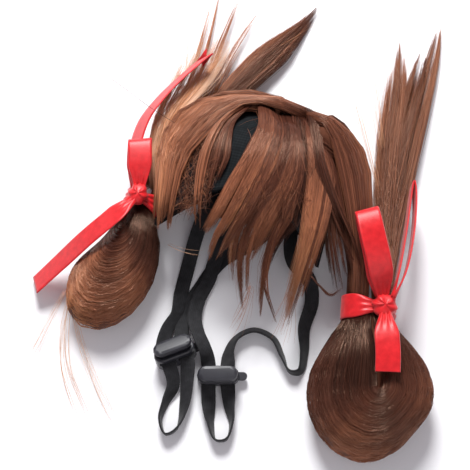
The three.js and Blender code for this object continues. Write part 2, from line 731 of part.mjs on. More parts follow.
// Merges the corners of a three.js geometry so that it can be cut and joined.
function weld(geometry) {
  const source = geometry.index ? geometry.toNonIndexed() : geometry;
  const corners = source.getAttribute('position');
  const numbers = new Map();
  const positions = [];
  const triangles = [];
  for (let i = 0; i < corners.count; i += 1) {
    const point = [corners.getX(i), corners.getY(i), corners.getZ(i)];
    const key = point.map((value) => value.toFixed(4)).join(' ');
    if (!numbers.has(key)) {
      numbers.set(key, positions.length / 3);
      positions.push(...point);
    }
    triangles.push(numbers.get(key));
  }
  const welded = new THREE.BufferGeometry();
  const whole = [];
  for (let i = 0; i < triangles.length; i += 3) {
    const [a, b, c] = triangles.slice(i, i + 3);
    if (a !== b && b !== c && c !== a) whole.push(a, b, c);
  }
  welded.setAttribute('position', new THREE.Float32BufferAttribute(positions, 3));
  welded.setIndex(whole);
  return toSolid(welded);
}

function slotPair(height, bottom) {
  const middle = bottom + height / 2;
  return [-1, 1].map((side) => weld(
    box(LOCK.slotWidth, LOCK.breadth * 2, height, (side * LOCK.slotPitch) / 2, 0, middle),
  ));
}

function makeLockBody() {
  const bar = weld(roundedBar(LOCK.length, LOCK.breadth, 0, LOCK.height, 0.8));
  const lugMiddle = LOCK.length / 2 + LOCK.lugReach - LOCK.lugLength / 2;
  const lugBottom = LOCK.strapHeight - LOCK.lugHeight;
  const lug = roundedBar(LOCK.lugLength, LOCK.lugBreadth, lugBottom, LOCK.lugHeight);
  const shell = bar.add(weld(lug.translate(lugMiddle, 0, 0)));
  const pocket = weld(roundedBar(LOCK.pocketLength, LOCK.pocketBreadth, LOCK.floor, LOCK.height));
  const slots = slotPair(LOCK.slotHeight, LOCK.strapHeight - LOCK.slotHeight / 2);
  return slots.reduce((solid, slot) => solid.subtract(slot), shell.subtract(pocket));
}

function makeLockPlunger() {
  const slotBottom = LOCK.strapHeight - STRAP_THICKNESS / 2 - GAP;
  const slotHeight = STRAP_THICKNESS + 2 * GAP + LOCK.travel;
  const stemBottom = slotBottom - LOCK.lowerBar;
  const headBottom = LOCK.height + LOCK.travel + GAP;
  const stem = weld(roundedBar(
    LOCK.pocketLength - 2 * GAP, LOCK.pocketBreadth - 2 * GAP, stemBottom, headBottom + 1 - stemBottom,
  ));
  const head = weld(roundedBar(
    LOCK.headLength, LOCK.headBreadth, headBottom, LOCK.headHeight, LOCK.headRounding, 2,
  ));
  const slots = slotPair(slotHeight, slotBottom);
  return slots.reduce((solid, slot) => solid.subtract(slot), stem.add(head));
}

function placed(mesh, place) {
  mesh.position.set(place.x, place.y, place.z);
  mesh.rotation.set(rad(place.lean), 0, rad(place.turn), 'ZYX');
  return mesh;
}

function material(colour, roughness) {
  return new THREE.MeshStandardMaterial({ color: colour, roughness, metalness: 0 });
}

const HAIR = material(0x5a3220, 0.45);
const HAIR_LIGHT = material(0x8a5433, 0.45);
const CLOTH = material(0x14191b, 0.9);
const SATIN = material(0xd8181f, 0.35);
const ELASTIC = material(0x17191c, 0.85);
const PLASTIC = material(0x1d1d22, 0.5);

const wig = new THREE.Group();

function add(name, geometry, look) {
  const mesh = new THREE.Mesh(geometry, look);
  mesh.name = name;
  wig.add(mesh);
  return mesh;
}

const sweptClearance = (tie, table, parting, sign, lift) => fuse([
  lockOfHair(neckRows(tie, tie.hairSide), { sides: 8, steps: 4, grow: GAP }),
  crownStrip(table, parting + sign * 6, lift, GAP),
  ...sweptLocks(tie, table, parting, sign, lift, GAP),
]);

const cover = LEFT_COVER.map((row) => fallingLock(row));
const coverClearance = fuse(LEFT_COVER.map((row) => fallingLock(row, GAP)));
const sweptLeft = sweptClearance(TIE_LEFT, SWEPT_LEFT, PARTING_LEFT_EDGE, -1, LIFT_LEFT);
const sweptRight = sweptClearance(TIE_RIGHT, SWEPT_RIGHT, PARTING_RIGHT_EDGE, 1, LIFT_RIGHT);

add('cap', makeCap(), CLOTH);
add('back_hair', toGeometry(makeMat([sweptLeft, sweptRight])), HAIR);
const sideLeft = makeSideHair(TIE_LEFT, SWEPT_LEFT, PARTING_LEFT_EDGE, -1, LIFT_LEFT, cover);
const sideRight = makeSideHair(TIE_RIGHT, SWEPT_RIGHT, PARTING_RIGHT_EDGE, 1, LIFT_RIGHT);
add('side_hair_left', toGeometry(sideLeft), HAIR_LIGHT);
add('side_hair_right', toGeometry(sideRight), HAIR_LIGHT);
add('fringe', toGeometry(makeFringe([sweptLeft, sweptRight, coverClearance])), HAIR_LIGHT);
add('pigtail_loop_left', makeLoop(TIE_LEFT, LOOP_LEFT), HAIR);
add('pigtail_loop_right', makeLoop(TIE_RIGHT, LOOP_RIGHT), HAIR);
const endsLeft = makeEnds(TIE_LEFT, ENDS_LEFT, [sweptLeft]);
const endsRight = makeEnds(TIE_RIGHT, ENDS_RIGHT, [sweptRight]);
add('pigtail_ends_left', toGeometry(endsLeft), HAIR);
add('pigtail_ends_right', toGeometry(endsRight), HAIR);
add('ribbon_left', toGeometry(makeRibbon(TIE_LEFT, BOW_LEFT)), SATIN);
add('ribbon_right', toGeometry(makeRibbon(TIE_RIGHT, BOW_RIGHT)), SATIN);
add('strap_front', makeStrap(STRAP_FRONT, 68), ELASTIC);
add('strap_back', makeStrap(STRAP_BACK, 58), ELASTIC);
for (const [name, place] of [['front', LOCK_FRONT_PLACE], ['back', LOCK_BACK_PLACE]]) {
  placed(add(`cord_lock_${name}_body`, toGeometry(makeLockBody()), PLASTIC), place);
  placed(add(`cord_lock_${name}_plunger`, toGeometry(makeLockPlunger()), PLASTIC), place);
}

export default wig;
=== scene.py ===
"""A small wig for a dog, lying on its back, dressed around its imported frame.

Lengths in the tables are millimetres in the frame of the part: +Z up, +Y to the crown,
-Y out of the opening for the head. Meshes are made in metres.
"""
import math

import bpy
import numpy as np
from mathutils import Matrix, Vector


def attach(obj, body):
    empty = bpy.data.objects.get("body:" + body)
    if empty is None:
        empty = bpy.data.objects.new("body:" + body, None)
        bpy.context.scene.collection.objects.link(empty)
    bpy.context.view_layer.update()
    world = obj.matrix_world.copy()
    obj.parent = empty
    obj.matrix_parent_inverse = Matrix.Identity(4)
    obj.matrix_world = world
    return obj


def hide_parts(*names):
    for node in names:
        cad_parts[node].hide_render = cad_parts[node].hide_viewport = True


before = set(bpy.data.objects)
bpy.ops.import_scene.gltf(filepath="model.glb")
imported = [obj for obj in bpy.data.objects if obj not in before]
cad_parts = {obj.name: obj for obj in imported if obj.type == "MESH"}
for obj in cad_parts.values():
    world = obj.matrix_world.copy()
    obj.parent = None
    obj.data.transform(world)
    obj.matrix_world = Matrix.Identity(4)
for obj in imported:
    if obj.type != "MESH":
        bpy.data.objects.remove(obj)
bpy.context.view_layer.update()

MM = 0.001
BODY = "wig"
RANDOM = np.random.default_rng(7)

# Camera: almost straight above, turned a little to the right.
CAMERA_AZIMUTH = 15.0
CAMERA_ELEVATION = 76.0
CAMERA_DISTANCE = 800.0
CAMERA_TARGET = (1.0, -45.0, 25.0)
MM_PER_PIXEL = 0.62
IMAGE_PIXELS = 470
SENSOR_MM = 36.0

# Table and light, in metres: lights are (name, place, size, power).
TABLE_HALF = 3.0
LIGHTS = [("key", (-0.32, 0.82, 1.0), 0.5, 25), ("fill", (0.5, -0.7, 1.2), 1.0, 3)]
LIGHT_TARGET = (0, -0.04, 0)
STUDIO_COLOUR = (0.98, 0.92, 1, 1)
STUDIO_STRENGTH = 0.34

# The stretch cap and its rim.
CAP = dict(x=4, y=-8, z=34.5, half_width=52, crown=40, half_depth=28, wall=1.8)
RIM_FACE, RIM_EAR, RIM_NECK = -26, -54, -14
# Its knit: length round the cap, height of a ring and sides of a ring.
CAP_GIRTH = 2 * math.pi * 42
CAP_ROW = 2.4
CAP_SIDES = 96

# Where the hair is tied: place, direction of the axis, size of the ribbon ring, side of the swept hair.
TIE_LEFT = dict(x=-60, y=-38, z=19, axis=-98, half_width=12, half_height=12, hair_side=1)
TIE_RIGHT = dict(x=92, y=-69, z=23, axis=-79, half_width=16.5, half_height=14, hair_side=-1)

# Places along the axis where the hair is gathered: before the tie and in it.
BEFORE_TIE, IN_TIE = -14, -0.4

# Swept locks: (tilt round the cap, radius).
SWEPT_LEFT = [(38, 5.5), (20, 6.5), (1, 6.5), (-20, 6.5), (-42, 6)]
SWEPT_RIGHT = [(56, 7), (36, 9), (16, 9), (-4, 9), (-25, 9), (-46, 8)]
PARTING_MIDDLE = 21.5
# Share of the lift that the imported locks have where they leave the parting.
PARTING_LIFT = 0.55
# Turn round the cap at which the swept hair leaves it for the tie.
EAR_TURN = 62
# Share of its tilt that swept hair loses on its way round the cap.
TILT_EASE = 0.25
# Where swept hair passes between the cap and the tie, as shares of the way in x, y and z.
TO_TIE = (0.55, 0.5, 0.5)
# Share of the lift that the swept hairs have at shares of their way round the cap.
SWEPT_RISE = [(0, 0.3), (0.06, 0.6), (0.15, 0.9), (0.34, 1), (0.52, 1), (0.7, 1), (0.86, 1), (1, 1)]
SWEPT_WISPS = 22

# Packed falling locks: (root x, root y, tip x, tip y, tip z, bow, half width).
FRINGE = [
    (4, 26, -10, -63, 44, -1, 6), (10, 25, -1, -65, 41, 5, 6.5), (14, 25, 17, -88, 29, -3, 6.5),
    (16, 25, 23, -84, 30, 5, 5.5), (18, 25, 39, -91, 26, -1, 3), (19, 24, 34, -46, 54, 3, 6),
]
FRINGE_LIFT = 4.4
FRINGE_HALF_THICKNESS = 3

# Flat locks, each laid between two edges of points (x, y, z). Tones: (left edge, right edge) at the root,
# then at the tip.
LAID = dict(
    fan=dict(
        left=[(26, 40, 45), (6, 42, 47), (-9, 40, 44), (-27, 37, 40), (-46, 29, 37), (-57, 13, 36),
              (-59, -6, 37), (-55, -25, 40), (-51, -43, 43), (-47, -60, 43)],
        right=[(26, 30, 51), (12, 31, 58), (-3, 32, 57), (-14, 28, 57), (-22, 17, 58), (-30, 1, 59),
               (-37, -13, 57), (-38, -28, 55), (-37, -45, 53), (-36, -59, 49)],
        hairs=800, tones=((0.56, 0.42), (0.88, 0.64)), shape=dict(clumps=14, pinch=0.4, bulge=5, thick=3)),
    second=dict(
        left=[(-16, 27, 54), (-25, 16, 57), (-30, -5, 60), (-30, -18, 60), (-28, -30, 60), (-25, -43, 60),
              (-20, -56, 57)],
        right=[(-12, 28, 55), (-20, 17, 58), (-24, -3, 62), (-24, -17, 62), (-23, -30, 61), (-21, -42, 60),
               (-17, -57, 57)],
        hairs=170, tones=((0.55, 0.45), (0.7, 0.5)), vary=0.18, shape=dict(clumps=5, stagger=0.2, bulge=1)),
    brown=dict(
        left=[(-12, 28, 53), (-22, 13, 57), (-25, -3, 60), (-25, -17, 60), (-24, -30, 59), (-21, -43, 58)],
        right=[(-8, 30, 54), (-15, 17, 57), (-14, 3, 62), (-12, -8, 64), (-13, -18, 64), (-15, -30, 62)],
        hairs=280, tones=((0.34, 0.26), (0.4, 0.34)), vary=0.18,
        shape=dict(clumps=8, stagger=0.3, bulge=1)),
    fringe_left=dict(
        left=[(-8, 38, 49), (-1, 18, 62), (-2, 3, 67), (-8, -19, 68), (-14, -42, 62), (-18, -55, 53),
              (-18, -68, 43)],
        right=[(7, 32, 50), (14, 17, 62), (15, 1, 67), (14, -18, 68), (10, -38, 65), (4, -53, 54),
               (-1, -70, 41)],
        hairs=760, tones=((0.42, 0.22), (0.92, 0.5)), vary=0.2,
        shape=dict(clumps=8, pinch=0.6, stagger=0.18)),
    fringe_middle=dict(
        left=[(7, 32, 50), (14, 17, 62), (15, -2, 68), (9, -26, 67), (1, -46, 57), (2, -66, 41),
              (14, -93, 27)],
        right=[(22, 29, 52), (29, 12, 61), (35, -6, 63), (36, -24, 61), (34, -38, 55), (28, -58, 40),
               (31, -91, 26)],
        hairs=900, tones=((0.2, 0.14), (0.88, 0.46)), vary=0.2,
        shape=dict(clumps=8, pinch=0.6, stagger=0.18)),
    fringe_tip=dict(
        left=[(16, 17, 59), (24, -8, 64), (24, -32, 60), (22, -57, 44), (26, -73, 34), (39, -92, 25)],
        right=[(19, 17, 59), (27, -8, 64), (28, -32, 60), (27, -57, 44), (29, -73, 34), (41, -92, 25)],
        hairs=70, tones=((0.25, 0.25), (0.5, 0.5)), shape=dict(clumps=3, pinch=0.8, bulge=1)),
    fringe_right=dict(
        left=[(24, 29, 52), (31, 11, 60), (35, -7, 62), (37, -24, 61), (39, -39, 58), (39, -54, 47),
              (36, -90, 26)],
        right=[(26, 29, 52), (42, 15, 54), (52, -1, 53), (55, -19, 54), (55, -38, 53), (54, -57, 45),
               (52, -96, 24)],
        hairs=640, tones=((0.2, 0.26), (0.62, 0.68)), vary=0.18,
        shape=dict(clumps=7, pinch=0.6, stagger=0.18)),
    fringe_shade=dict(
        left=[(0, 30, 48), (6, 12, 57), (14, -6, 61), (20, -18, 61), (26, -30, 59)],
        right=[(28, 30, 48), (40, 12, 53), (48, -6, 52), (50, -16, 49), (48, -28, 47)],
        hairs=300, tones=((0.3, 0.3), (0.3, 0.3)), shape=dict(clumps=9, pinch=0.3, stagger=0.1, bulge=0)),
    # Dark brown hair between the front right lock and the right sweep, painted darker still as shade.
    fringe_dark=dict(
        left=[(24, 30, 50), (32, 13, 57), (41, -2, 58), (49, -21, 52), (54, -36, 45), (60, -51, 38),
              (66, -65, 32)],
        right=[(28, 32, 50), (42, 18, 51), (53, 2, 50), (62, -16, 47), (71, -36, 42), (79, -49, 37),
               (87, -62, 32)],
        hairs=340, tones=((0.2, 0.2), (0.26, 0.26)),
        shape=dict(clumps=10, pinch=0.4, stagger=0.3, bulge=1)),
    front_right=dict(
        left=[(23, 38, 51), (31, 21, 57), (37, 4, 61), (44, -10, 59), (54, -22, 53), (65, -36, 47),
              (79, -50, 42)],
        right=[(29, 38, 49), (37, 25, 54), (43, 7, 58), (52, -6, 54), (62, -20, 49), (75, -36, 45),
               (83, -53, 41)],
        hairs=280, tones=((0.1, 0.14), (0.3, 0.22)), shape=dict(clumps=7, pinch=0.6, stagger=0.2, bulge=2)),
    # Pale golden hair, painted paler still as light to make up for the ribbon's shadow over it.
    left_spray=dict(
        left=[(-58, -30, 24), (-65, -10, 26), (-68, 14, 26), (-66, 36, 23), (-64, 60, 16), (-62, 90, 8)],
        right=[(-52, -28, 26), (-54, -1, 29), (-50, 24, 29), (-41, 44, 25), (-36, 64, 17), (-32, 88, 9)],
        hairs=420, tones=((1.15, 1.1), (1.2, 1.15)),
        shape=dict(clumps=12, pinch=0.6, stagger=0.35, bulge=0, thick=4, drift=0.04)),
    left_clump=dict(
        left=[(-54, -28, 15), (-49, 0, 13), (-42, 28, 11), (-35, 52, 10), (-19, 86, 8), (1, 110, 4),
              (11, 126, 2)],
        right=[(-47, -28, 15), (-40, 0, 13), (-30, 28, 11), (-17, 51, 10), (2, 82, 8), (9, 106, 4),
               (14, 126, 2)],
        hairs=640, tones=((0.55, 0.05), (0.85, 0.25)),
        shape=dict(clumps=6, pinch=0.5, stagger=0.26, bulge=3, thick=5, drift=0.03)),
    parting=dict(
        left=[(14, 38, 45), (17, 30, 54), (21, 16, 59), (24, 0, 62)],
        right=[(34, 38, 44), (33, 30, 51), (33, 16, 56), (33, 0, 60)],
        hairs=160, tones=((0.2, 0.2), (0.25, 0.25)), shape=dict(clumps=8, stagger=0.3, bulge=1)),
    right_sweep=dict(
        left=[(22, 40, 44), (40, 38, 46), (53, 34, 42), (64, 26, 40), (72, 13, 39), (77, -3, 38),
              (81, -20, 36), (86, -44, 31), (90, -62, 27), (91, -70, 24)],
        right=[(22, 31, 50), (36, 29, 56), (44, 20, 56), (50, 9, 55), (56, -3, 53), (62, -15, 50),
               (69, -30, 45), (76, -50, 37), (79, -63, 30), (79, -70, 26)],
        hairs=750, tones=((0.55, 0.36), (0.44, 0.4)),
        shape=dict(clumps=12, pinch=0.3, stagger=0, bulge=5, thick=3)),
)
# Flat locks of the fringe.
FRINGE_LAID = ("fringe_left", "fringe_middle", "fringe_tip", "fringe_right", "fringe_shade", "fringe_dark",
               "front_right", "parting")

# Curly hairs over the front left of the cap, and ruffled ones over the fringe.
FRIZZ = [
    dict(hairs=620, x=(-47, -17), y=(-46, 4), length=(6, 16), heading=0.5, curl=(0.4, 1.8), lift=(0.8, 3.5)),
    dict(hairs=150, x=(-2, 46), y=(-32, 26), length=(14, 36), heading=0.6, curl=(0.1, 0.8), lift=(5.4, 7.6)),
]

# Hairs that have come loose: route of points (x, y, z), hairs, spread, tone.
LOOSE_HAIRS = [
    ([(-52, 9, 46), (-71, 17, 40), (-96, 30, 30), (-118, 40, 24)], 3, 0.5, 0.25),
    ([(-88, -109, 14), (-87, -127, 6), (-81, -147, 2), (-69, -165, 2), (-57, -179, 2)], 14, 3, 1.3),
    ([(-83, -117, 12), (-72, -136, 4), (-58, -154, 2), (-44, -170, 2), (-35, -178, 2)], 9, 3, 1.3),
    ([(-92, -104, 14), (-97, -123, 6), (-100, -140, 3), (-101, -148, 2)], 7, 2, 1.2),
    ([(80, 6, 26), (65, 36, 24), (52, 62, 20), (44, 83, 18)], 9, 3, 1.1),
    ([(76, 35, 18), (67, 61, 14), (59, 81, 12), (54, 95, 10)], 8, 3, 1.1),
    ([(53, -63, 46), (60, -67, 42), (67, -70, 40), (72, -65, 42)], 36, 0.6, 0.3),
    ([(-37, -62, 30), (-29, -64, 32), (-21, -64, 34), (-16, -63, 36)], 3, 1.2, 1.2),
    ([(-30, -46, 48), (-28, -42, 52), (-24, -45, 50), (-20, -48, 48)], 6, 2, 0.9),
    ([(20, -76, 36), (20, -88, 30), (18, -102, 25)], 12, 4, 0.75),
    ([(44, -76, 36), (45, -88, 29), (44, -102, 24)], 12, 4, 0.75),
    ([(-57, -4, 14), (-56, 30, 12), (-62, 70, 8), (-74, 104, 5)], 10, 4, 1.2),
    ([(-30, 50, 10), (-20, 74, 8), (-2, 96, 6), (16, 118, 4)], 8, 3, 1.0),
]

# Folded loops: (along the tie's axis, shift, half width, half height, z).
LOOP_LEFT = [
    (0.8, 0, 10.5, 10.5, 19), (8.5, 0.6, 10.7, 10.5, 18.8), (16, 3, 14.5, 13.5, 18),
    (27, 4.8, 17.6, 16, 17.5), (38, 3.8, 21.2, 17.5, 17), (50, 1.4, 24.2, 18, 17),
    (60, -0.3, 23.9, 17.5, 16.5), (69, -1, 21.4, 16.5, 15.5), (76, -2, 17.6, 14.5, 14),
    (81.5, -3, 12.6, 11, 11.5), (85, -3.6, 6, 6, 9.5),
]
LOOP_RIGHT = [
    (0.8, 0, 13.3, 12.3, 23), (8.5, 0, 13.8, 12.6, 22.8), (15, 0.8, 21.5, 16, 21.8),
    (22, 2.2, 27, 19, 20.8), (31, 3.5, 33, 21.5, 20), (42, 3.7, 37.5, 22.8, 20), (54, 3.6, 38.4, 23, 19.5),
    (64, 2.4, 35.4, 22.3, 18.8), (73, 1, 30, 20.5, 17.5), (81, 0.9, 23.8, 17.5, 15.5),
    (87, 1, 15.8, 12.5, 12.5), (90.5, 1.6, 7.5, 7, 10),
]

# Free ends: trunk (x, y, z, half width, half height), then tips (root x, root y, tip x, tip y, tip z,
# half width).
ENDS_LEFT = dict(
    trunk=(-50, -6, 10, 9, 9),
    tips=[(-52, 34, -55, 122, 2.5, 3), (-46, 40, -40, 120, 2.5, 3), (-40, 42, -24, 112, 2.5, 3),
          (-31, 44, 10, 122, 2.5, 9)],
)
ENDS_RIGHT = dict(
    trunk=(93, -24, 13, 10, 11),
    tips=[(80, 42, 70, 116, 2.5, 7), (85, 44, 79, 96, 2.5, 5.5), (88, 44, 88, 114, 2.5, 6),
          (92, 42, 93, 133, 2.5, 7.5)],
)

# How each tip of the free ends is dressed: (hairs, wisps, tone at the tie, tone at the tip).
ENDS_LEFT_DRESS = [(70, 2, 0.8, 0.9), (50, 1, 0.8, 0.7), (60, 2, 0.8, 0.75)]
ENDS_RIGHT_DRESS = [(380, 5, 0.36, 0.66), (300, 4, 0.34, 0.6), (380, 5, 0.36, 0.62), (480, 5, 0.34, 0.6)]

# Mat of hair under the cap: (y, from x, to x).
MAT_STRIPS = [(-24, -30, 38), (-12, -36, 44), (0, -36, 44), (12, -31, 39)]
MAT_HALF_WIDTH, MAT_HALF_THICKNESS, MAT_MIDDLE = 7.4, 6, 2.8
MAT_HAIRS, MAT_RADIUS = 110, 0.3

# Satin ribbon and its bows: a knot, then strips with their route and the directions of their width.
RIBBON_WIDTH = 15
RIBBON_THICKNESS = 1.0
RIBBON_STEPS = 60
BOW_LEFT = dict(
    knot=dict(at=(-63, -37.5, 34.2), size=(6, 6.5, 4)),
    strips=[
        dict(route=[(-63, -34, 34), (-67, -18, 39), (-70.5, -6, 39), (-71, -4, 36.5), (-69, -15, 33),
                    (-64, -33, 32.5)],
             width=((0.94, 0.35, 0), (0.94, 0.35, 0))),
        dict(route=[(-66, -34, 33), (-73, -12, 31), (-73, 10, 31), (-67, 28, 30), (-60, 43, 28),
                    (-50, 60, 26), (-48, 63, 25.5), (-51, 60, 23.5), (-60.5, 44, 25), (-68, 29, 26.5),
                    (-74, 11, 27.5), (-73.5, -11, 28.5), (-66, -33, 31.5)],
             width=((0.55, 0.1, 0.83), (0.55, 0.1, 0.83))),
        dict(route=[(-64, -39, 35), (-73.5, -55, 37), (-86, -71, 31), (-100, -88, 18), (-113, -104.5, 7)],
             width=((0.72, -0.5, 0.48), (0.62, -0.45, 0.64))),
    ],
)
BOW_RIGHT = dict(
    knot=dict(at=(100, -67, 38.6), size=(7.5, 7, 4.6)),
    strips=[
        dict(route=[(98, -63, 39), (92, -49, 51), (83, -32, 56), (76.5, -19, 55), (75, -16, 52.5),
                    (78, -22, 49.5), (88, -42, 46), (97, -62, 37.5)],
             width=((0.87, 0.5, 0), (0.87, 0.5, 0))),
        dict(route=[(104, -63, 40.5), (107.5, -45, 36.5), (107, -16, 29), (102.5, 10, 25), (100, 15.5, 25),
                    (100.5, 6, 25), (102.5, -18, 29), (103.5, -46, 36.5), (103, -62, 39.5)],
             width=((0, 0.1, 1), (0, 0.1, 1))),
        dict(route=[(101, -69, 39.5), (104, -82, 45.5), (108, -96, 47.5), (110.5, -107, 47)],
             width=((0.97, 0.23, 0), (0.97, 0.23, 0))),
    ],
)

# Flat elastic straps: (x, y, z, roll), where roll 0 lies flat and 90 stands on edge.
STRAP_WIDTH = 9
STRAP_THICKNESS = 1.2
STRAP_STEPS = 340
STRAP_FRONT = [
    (2, -8, 9.7, 0), (1, -24, 9.7, 0), (-4, -42, 8, 0), (-8, -57, 4.6, 0), (-8.8, -72, 3.2, 0),
    (-11.6, -86, 3.4, 0), (-10.8, -98, 7, 10), (-5.5, -108.5, 13.4, 25), (1, -116.5, 13.4, 28),
    (5.4, -124.8, 7, 0), (7.2, -131.5, 6.8, 0), (8.9, -137.8, 6.8, 0), (11.5, -147, 5.2, 12),
    (15.5, -158, 4.6, 62), (21.5, -168, 5, 88), (27.8, -166, 5, 92), (28.4, -156, 5, 78),
    (24, -145, 5.4, 40), (20.5, -134.7, 6.8, 0), (18.8, -128.5, 6.8, 0), (17.1, -122.2, 6.8, 0),
    (15.4, -113.5, 5.4, 48), (17.5, -104, 4.9, 66), (27, -96.2, 4.8, 64), (40, -98.2, 4.8, 64),
    (48, -107.4, 4.8, 70), (55, -115.6, 5, 92), (61, -114, 5, 112), (60.8, -102, 4.8, 125),
    (57, -87, 3.6, 150), (57.4, -69, 4.5, 178), (52, -57, 10, 190), (40, -50, 15.4, 200),
    (35, -38, 16.4, 203), (35, -18, 16.2, 203),
]
STRAP_BACK = [
    (-22, -14, 14.2, 17), (-22.2, -34, 13.8, 16), (-23.6, -52, 8, 6), (-23.8, -67, 2.6, 0),
    (-23.6, -84, 1.2, 0), (-22.5, -99, 3.4, 40), (-25.4, -110, 4.8, 30), (-24.7, -122.3, 6.1, 0),
    (-21.2, -127.2, 8.5, 0), (-17.6, -132, 10.9, 0), (-12.4, -142, 6.4, 30), (-14.2, -154, 4.6, 66),
    (-14.4, -165, 5, 82), (-9, -172.6, 5, 90), (-3.2, -167.4, 5, 90), (-2.6, -152, 4.4, 45),
    (-5, -137, 7.6, 20), (-7.9, -125, 10.9, 0), (-11.5, -120.1, 8.5, 0), (-15, -115.2, 6.1, 0),
    (-17, -104, 3, 14), (-17.4, -97, 0.8, 0), (-16, -88, 0.8, 0), (-12.6, -78, 0.8, 0), (-9, -67, 0.8, 0),
    (-3, -56, 1.2, 0), (8, -46, 4, 0), (18, -36, 10, 8), (22, -26, 12, 11), (22, -12, 12, 11),
]

# Both sides of the wig. Slit of a loop: its end along the tie's axis, and sideways as a share of the
# half width. Tone of a loop, with painted light: painted shade at the tie, a painted highlight round the
# fold, lighter to one side as the light falls, lobes of painted sheen.
SIDES = [
    dict(
        name="left", sign=-1, tie=TIE_LEFT, bow=BOW_LEFT,
        swept=SWEPT_LEFT, parting=18, lift=8, hairs=900, tone=(0.5, 0.6), laid=("fan", "second", "brown"),
        loop=LOOP_LEFT, slit=(15, -0.6), loop_hairs=1000, loop_tone_and_painted_light=(0.04, 0.9, -0.2, 4),
        ends=ENDS_LEFT, dress=ENDS_LEFT_DRESS, ends_laid=("left_spray", "left_clump"), packed_ends=1,
    ),
    dict(
        name="right", sign=1, tie=TIE_RIGHT, bow=BOW_RIGHT,
        swept=SWEPT_RIGHT, parting=25, lift=11, hairs=1000, tone=(0.45, 0.38), laid=("right_sweep",),
        loop=LOOP_RIGHT, slit=(48, 0.1), loop_hairs=1400, loop_tone_and_painted_light=(0.08, 0.62, 0.24, 3),
        ends=ENDS_RIGHT, dress=ENDS_RIGHT_DRESS, ends_laid=(), packed_ends=4,
    ),
]

# Rounding of the edges of the cord locks' pieces.
LOCK_ROUNDING = dict(body=0.7, plunger=0.9)

# Hair colours, linear: from the shadowed roots to the golden highlights, each with its tone.
HAIR_TONES = (0, 0.4, 0.8, 1, 1.4)
HAIR_COLOURS = np.array([
    (0.030, 0.010, 0.007), (0.126, 0.042, 0.026), (0.440, 0.166, 0.084), (0.640, 0.275, 0.125),
    (0.900, 0.620, 0.440),
])
HAIR_RADIUS = 0.125
# Share of a flat lock over which its hairs begin.
ROOT_SPREAD = 0.035
# How far a loop's hairs reach past its last row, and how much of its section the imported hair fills.
LOOP_END = 1.6
LOOP_CORE_WIDTH, LOOP_CORE_HEIGHT = 0.92, 0.88

# Points along a hair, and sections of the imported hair.
HAIR_POINTS, LOOP_POINTS, ENDS_POINTS, MAT_POINTS, LOOSE_POINTS = 10, 18, 9, 7, 12
CORE_SIDES, CORE_STEPS = 12, 26
LOOP_SIDES, LOOP_STEPS = 40, 40


# Curves.

def on_curve(points, shares):
    """Points on a centripetal Catmull-Rom curve, at shares of its number of spans."""
    points = np.asarray(points, float)
    points = np.broadcast_to(points, (*shares.shape[:-1], *points.shape[-2:]))
    before = 2 * points[..., :1, :] - points[..., 1:2, :]
    after = 2 * points[..., -1:, :] - points[..., -2:-1, :]
    padded = np.concatenate([before, points, after], axis=-2)
    spans = points.shape[-2] - 1
    place = np.clip(shares, 0, 1) * spans
    index = np.minimum(place.astype(int), spans - 1)
    w = (place - index)[..., None]
    p0, p1, p2, p3 = (np.take_along_axis(padded, (index + k)[..., None], axis=-2) for k in range(4))
    d0 = np.sqrt(np.linalg.norm(p1 - p0, axis=-1, keepdims=True))
    d1 = np.sqrt(np.linalg.norm(p2 - p1, axis=-1, keepdims=True))
    d2 = np.sqrt(np.linalg.norm(p3 - p2, axis=-1, keepdims=True))
    m1 = ((p1 - p0) / d0 - (p2 - p0) / (d0 + d1) + (p2 - p1) / d1) * d1
    m2 = ((p2 - p1) / d1 - (p3 - p1) / (d1 + d2) + (p3 - p2) / d2) * d1
    w2, w3 = w * w, w * w * w
    return (2 * w3 - 3 * w2 + 1) * p1 + (w3 - 2 * w2 + w) * m1 + (3 * w2 - 2 * w3) * p2 + (w3 - w2) * m2


def unit(vectors):
    return vectors / np.maximum(np.linalg.norm(vectors, axis=-1, keepdims=True), 1e-9)


def tangents(points):
    return unit(np.gradient(points, axis=-2))


def between(rows, shares):
    """Values of a table's columns at shares of its number of spans."""
    rows = np.asarray(rows, float)
    place = np.clip(shares, 0, 1) * (len(rows) - 1)
    return np.stack([np.interp(place, np.arange(len(rows)), column) for column in rows.T], -1)


def smoothstep(x, low, high):
    t = np.clip((x - low) / (high - low), 0, 1)
    return t * t * (3 - 2 * t)


# Meshes.

def mesh_from_grid(rings):
    """Vertices and faces of rings of points (count, sides, 3), closed at both ends."""
    count, sides = rings.shape[:2]
    start = np.arange(count - 1)[:, None] * sides
    side = np.arange(sides)[None]
    here, turn = (start + side).ravel(), (start + (side + 1) % sides).ravel()
    faces = np.stack([here, turn, turn + sides, here + sides], -1).tolist()
    faces.append(list(range(sides))[::-1])
    faces.append(list(range((count - 1) * sides, count * sides)))
    return rings.reshape(-1, 3), faces


def join(parts):
    """One list of vertices and faces from several."""
    vertices, faces, offset = [], [], 0
    for points, polygons in parts:
        vertices.append(points)
        faces.extend([[corner + offset for corner in polygon] for polygon in polygons])
        offset += len(points)
    return np.vstack(vertices), faces


def new_object(name, mesh, material):
    mesh.materials.append(material)
    piece = bpy.data.objects.new(name, mesh)
    bpy.context.scene.collection.objects.link(piece)
    return piece


def object_from(name, vertices, faces, material):
    mesh = bpy.data.meshes.new(name)
    mesh.from_pydata((vertices * MM).tolist(), [], faces)
    mesh.polygons.foreach_set("use_smooth", [True] * len(mesh.polygons))
    mesh.update()
    return new_object(name, mesh, material)


def set_map(piece, name, places):
    """A map of a mesh, from one place for each vertex."""
    index = np.empty(len(piece.data.loops), np.int32)
    piece.data.loops.foreach_get("vertex_index", index)
    layer = piece.data.uv_layers.new(name=name)
    layer.data.foreach_set("uv", places[index].ravel().astype(np.float32))


def carried(piece, slot, *nodes):
    """Lets a piece ride on the wig, hiding the solids it stands for; its finish is not used."""
    if nodes:
        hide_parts(*nodes)
    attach(piece, BODY)


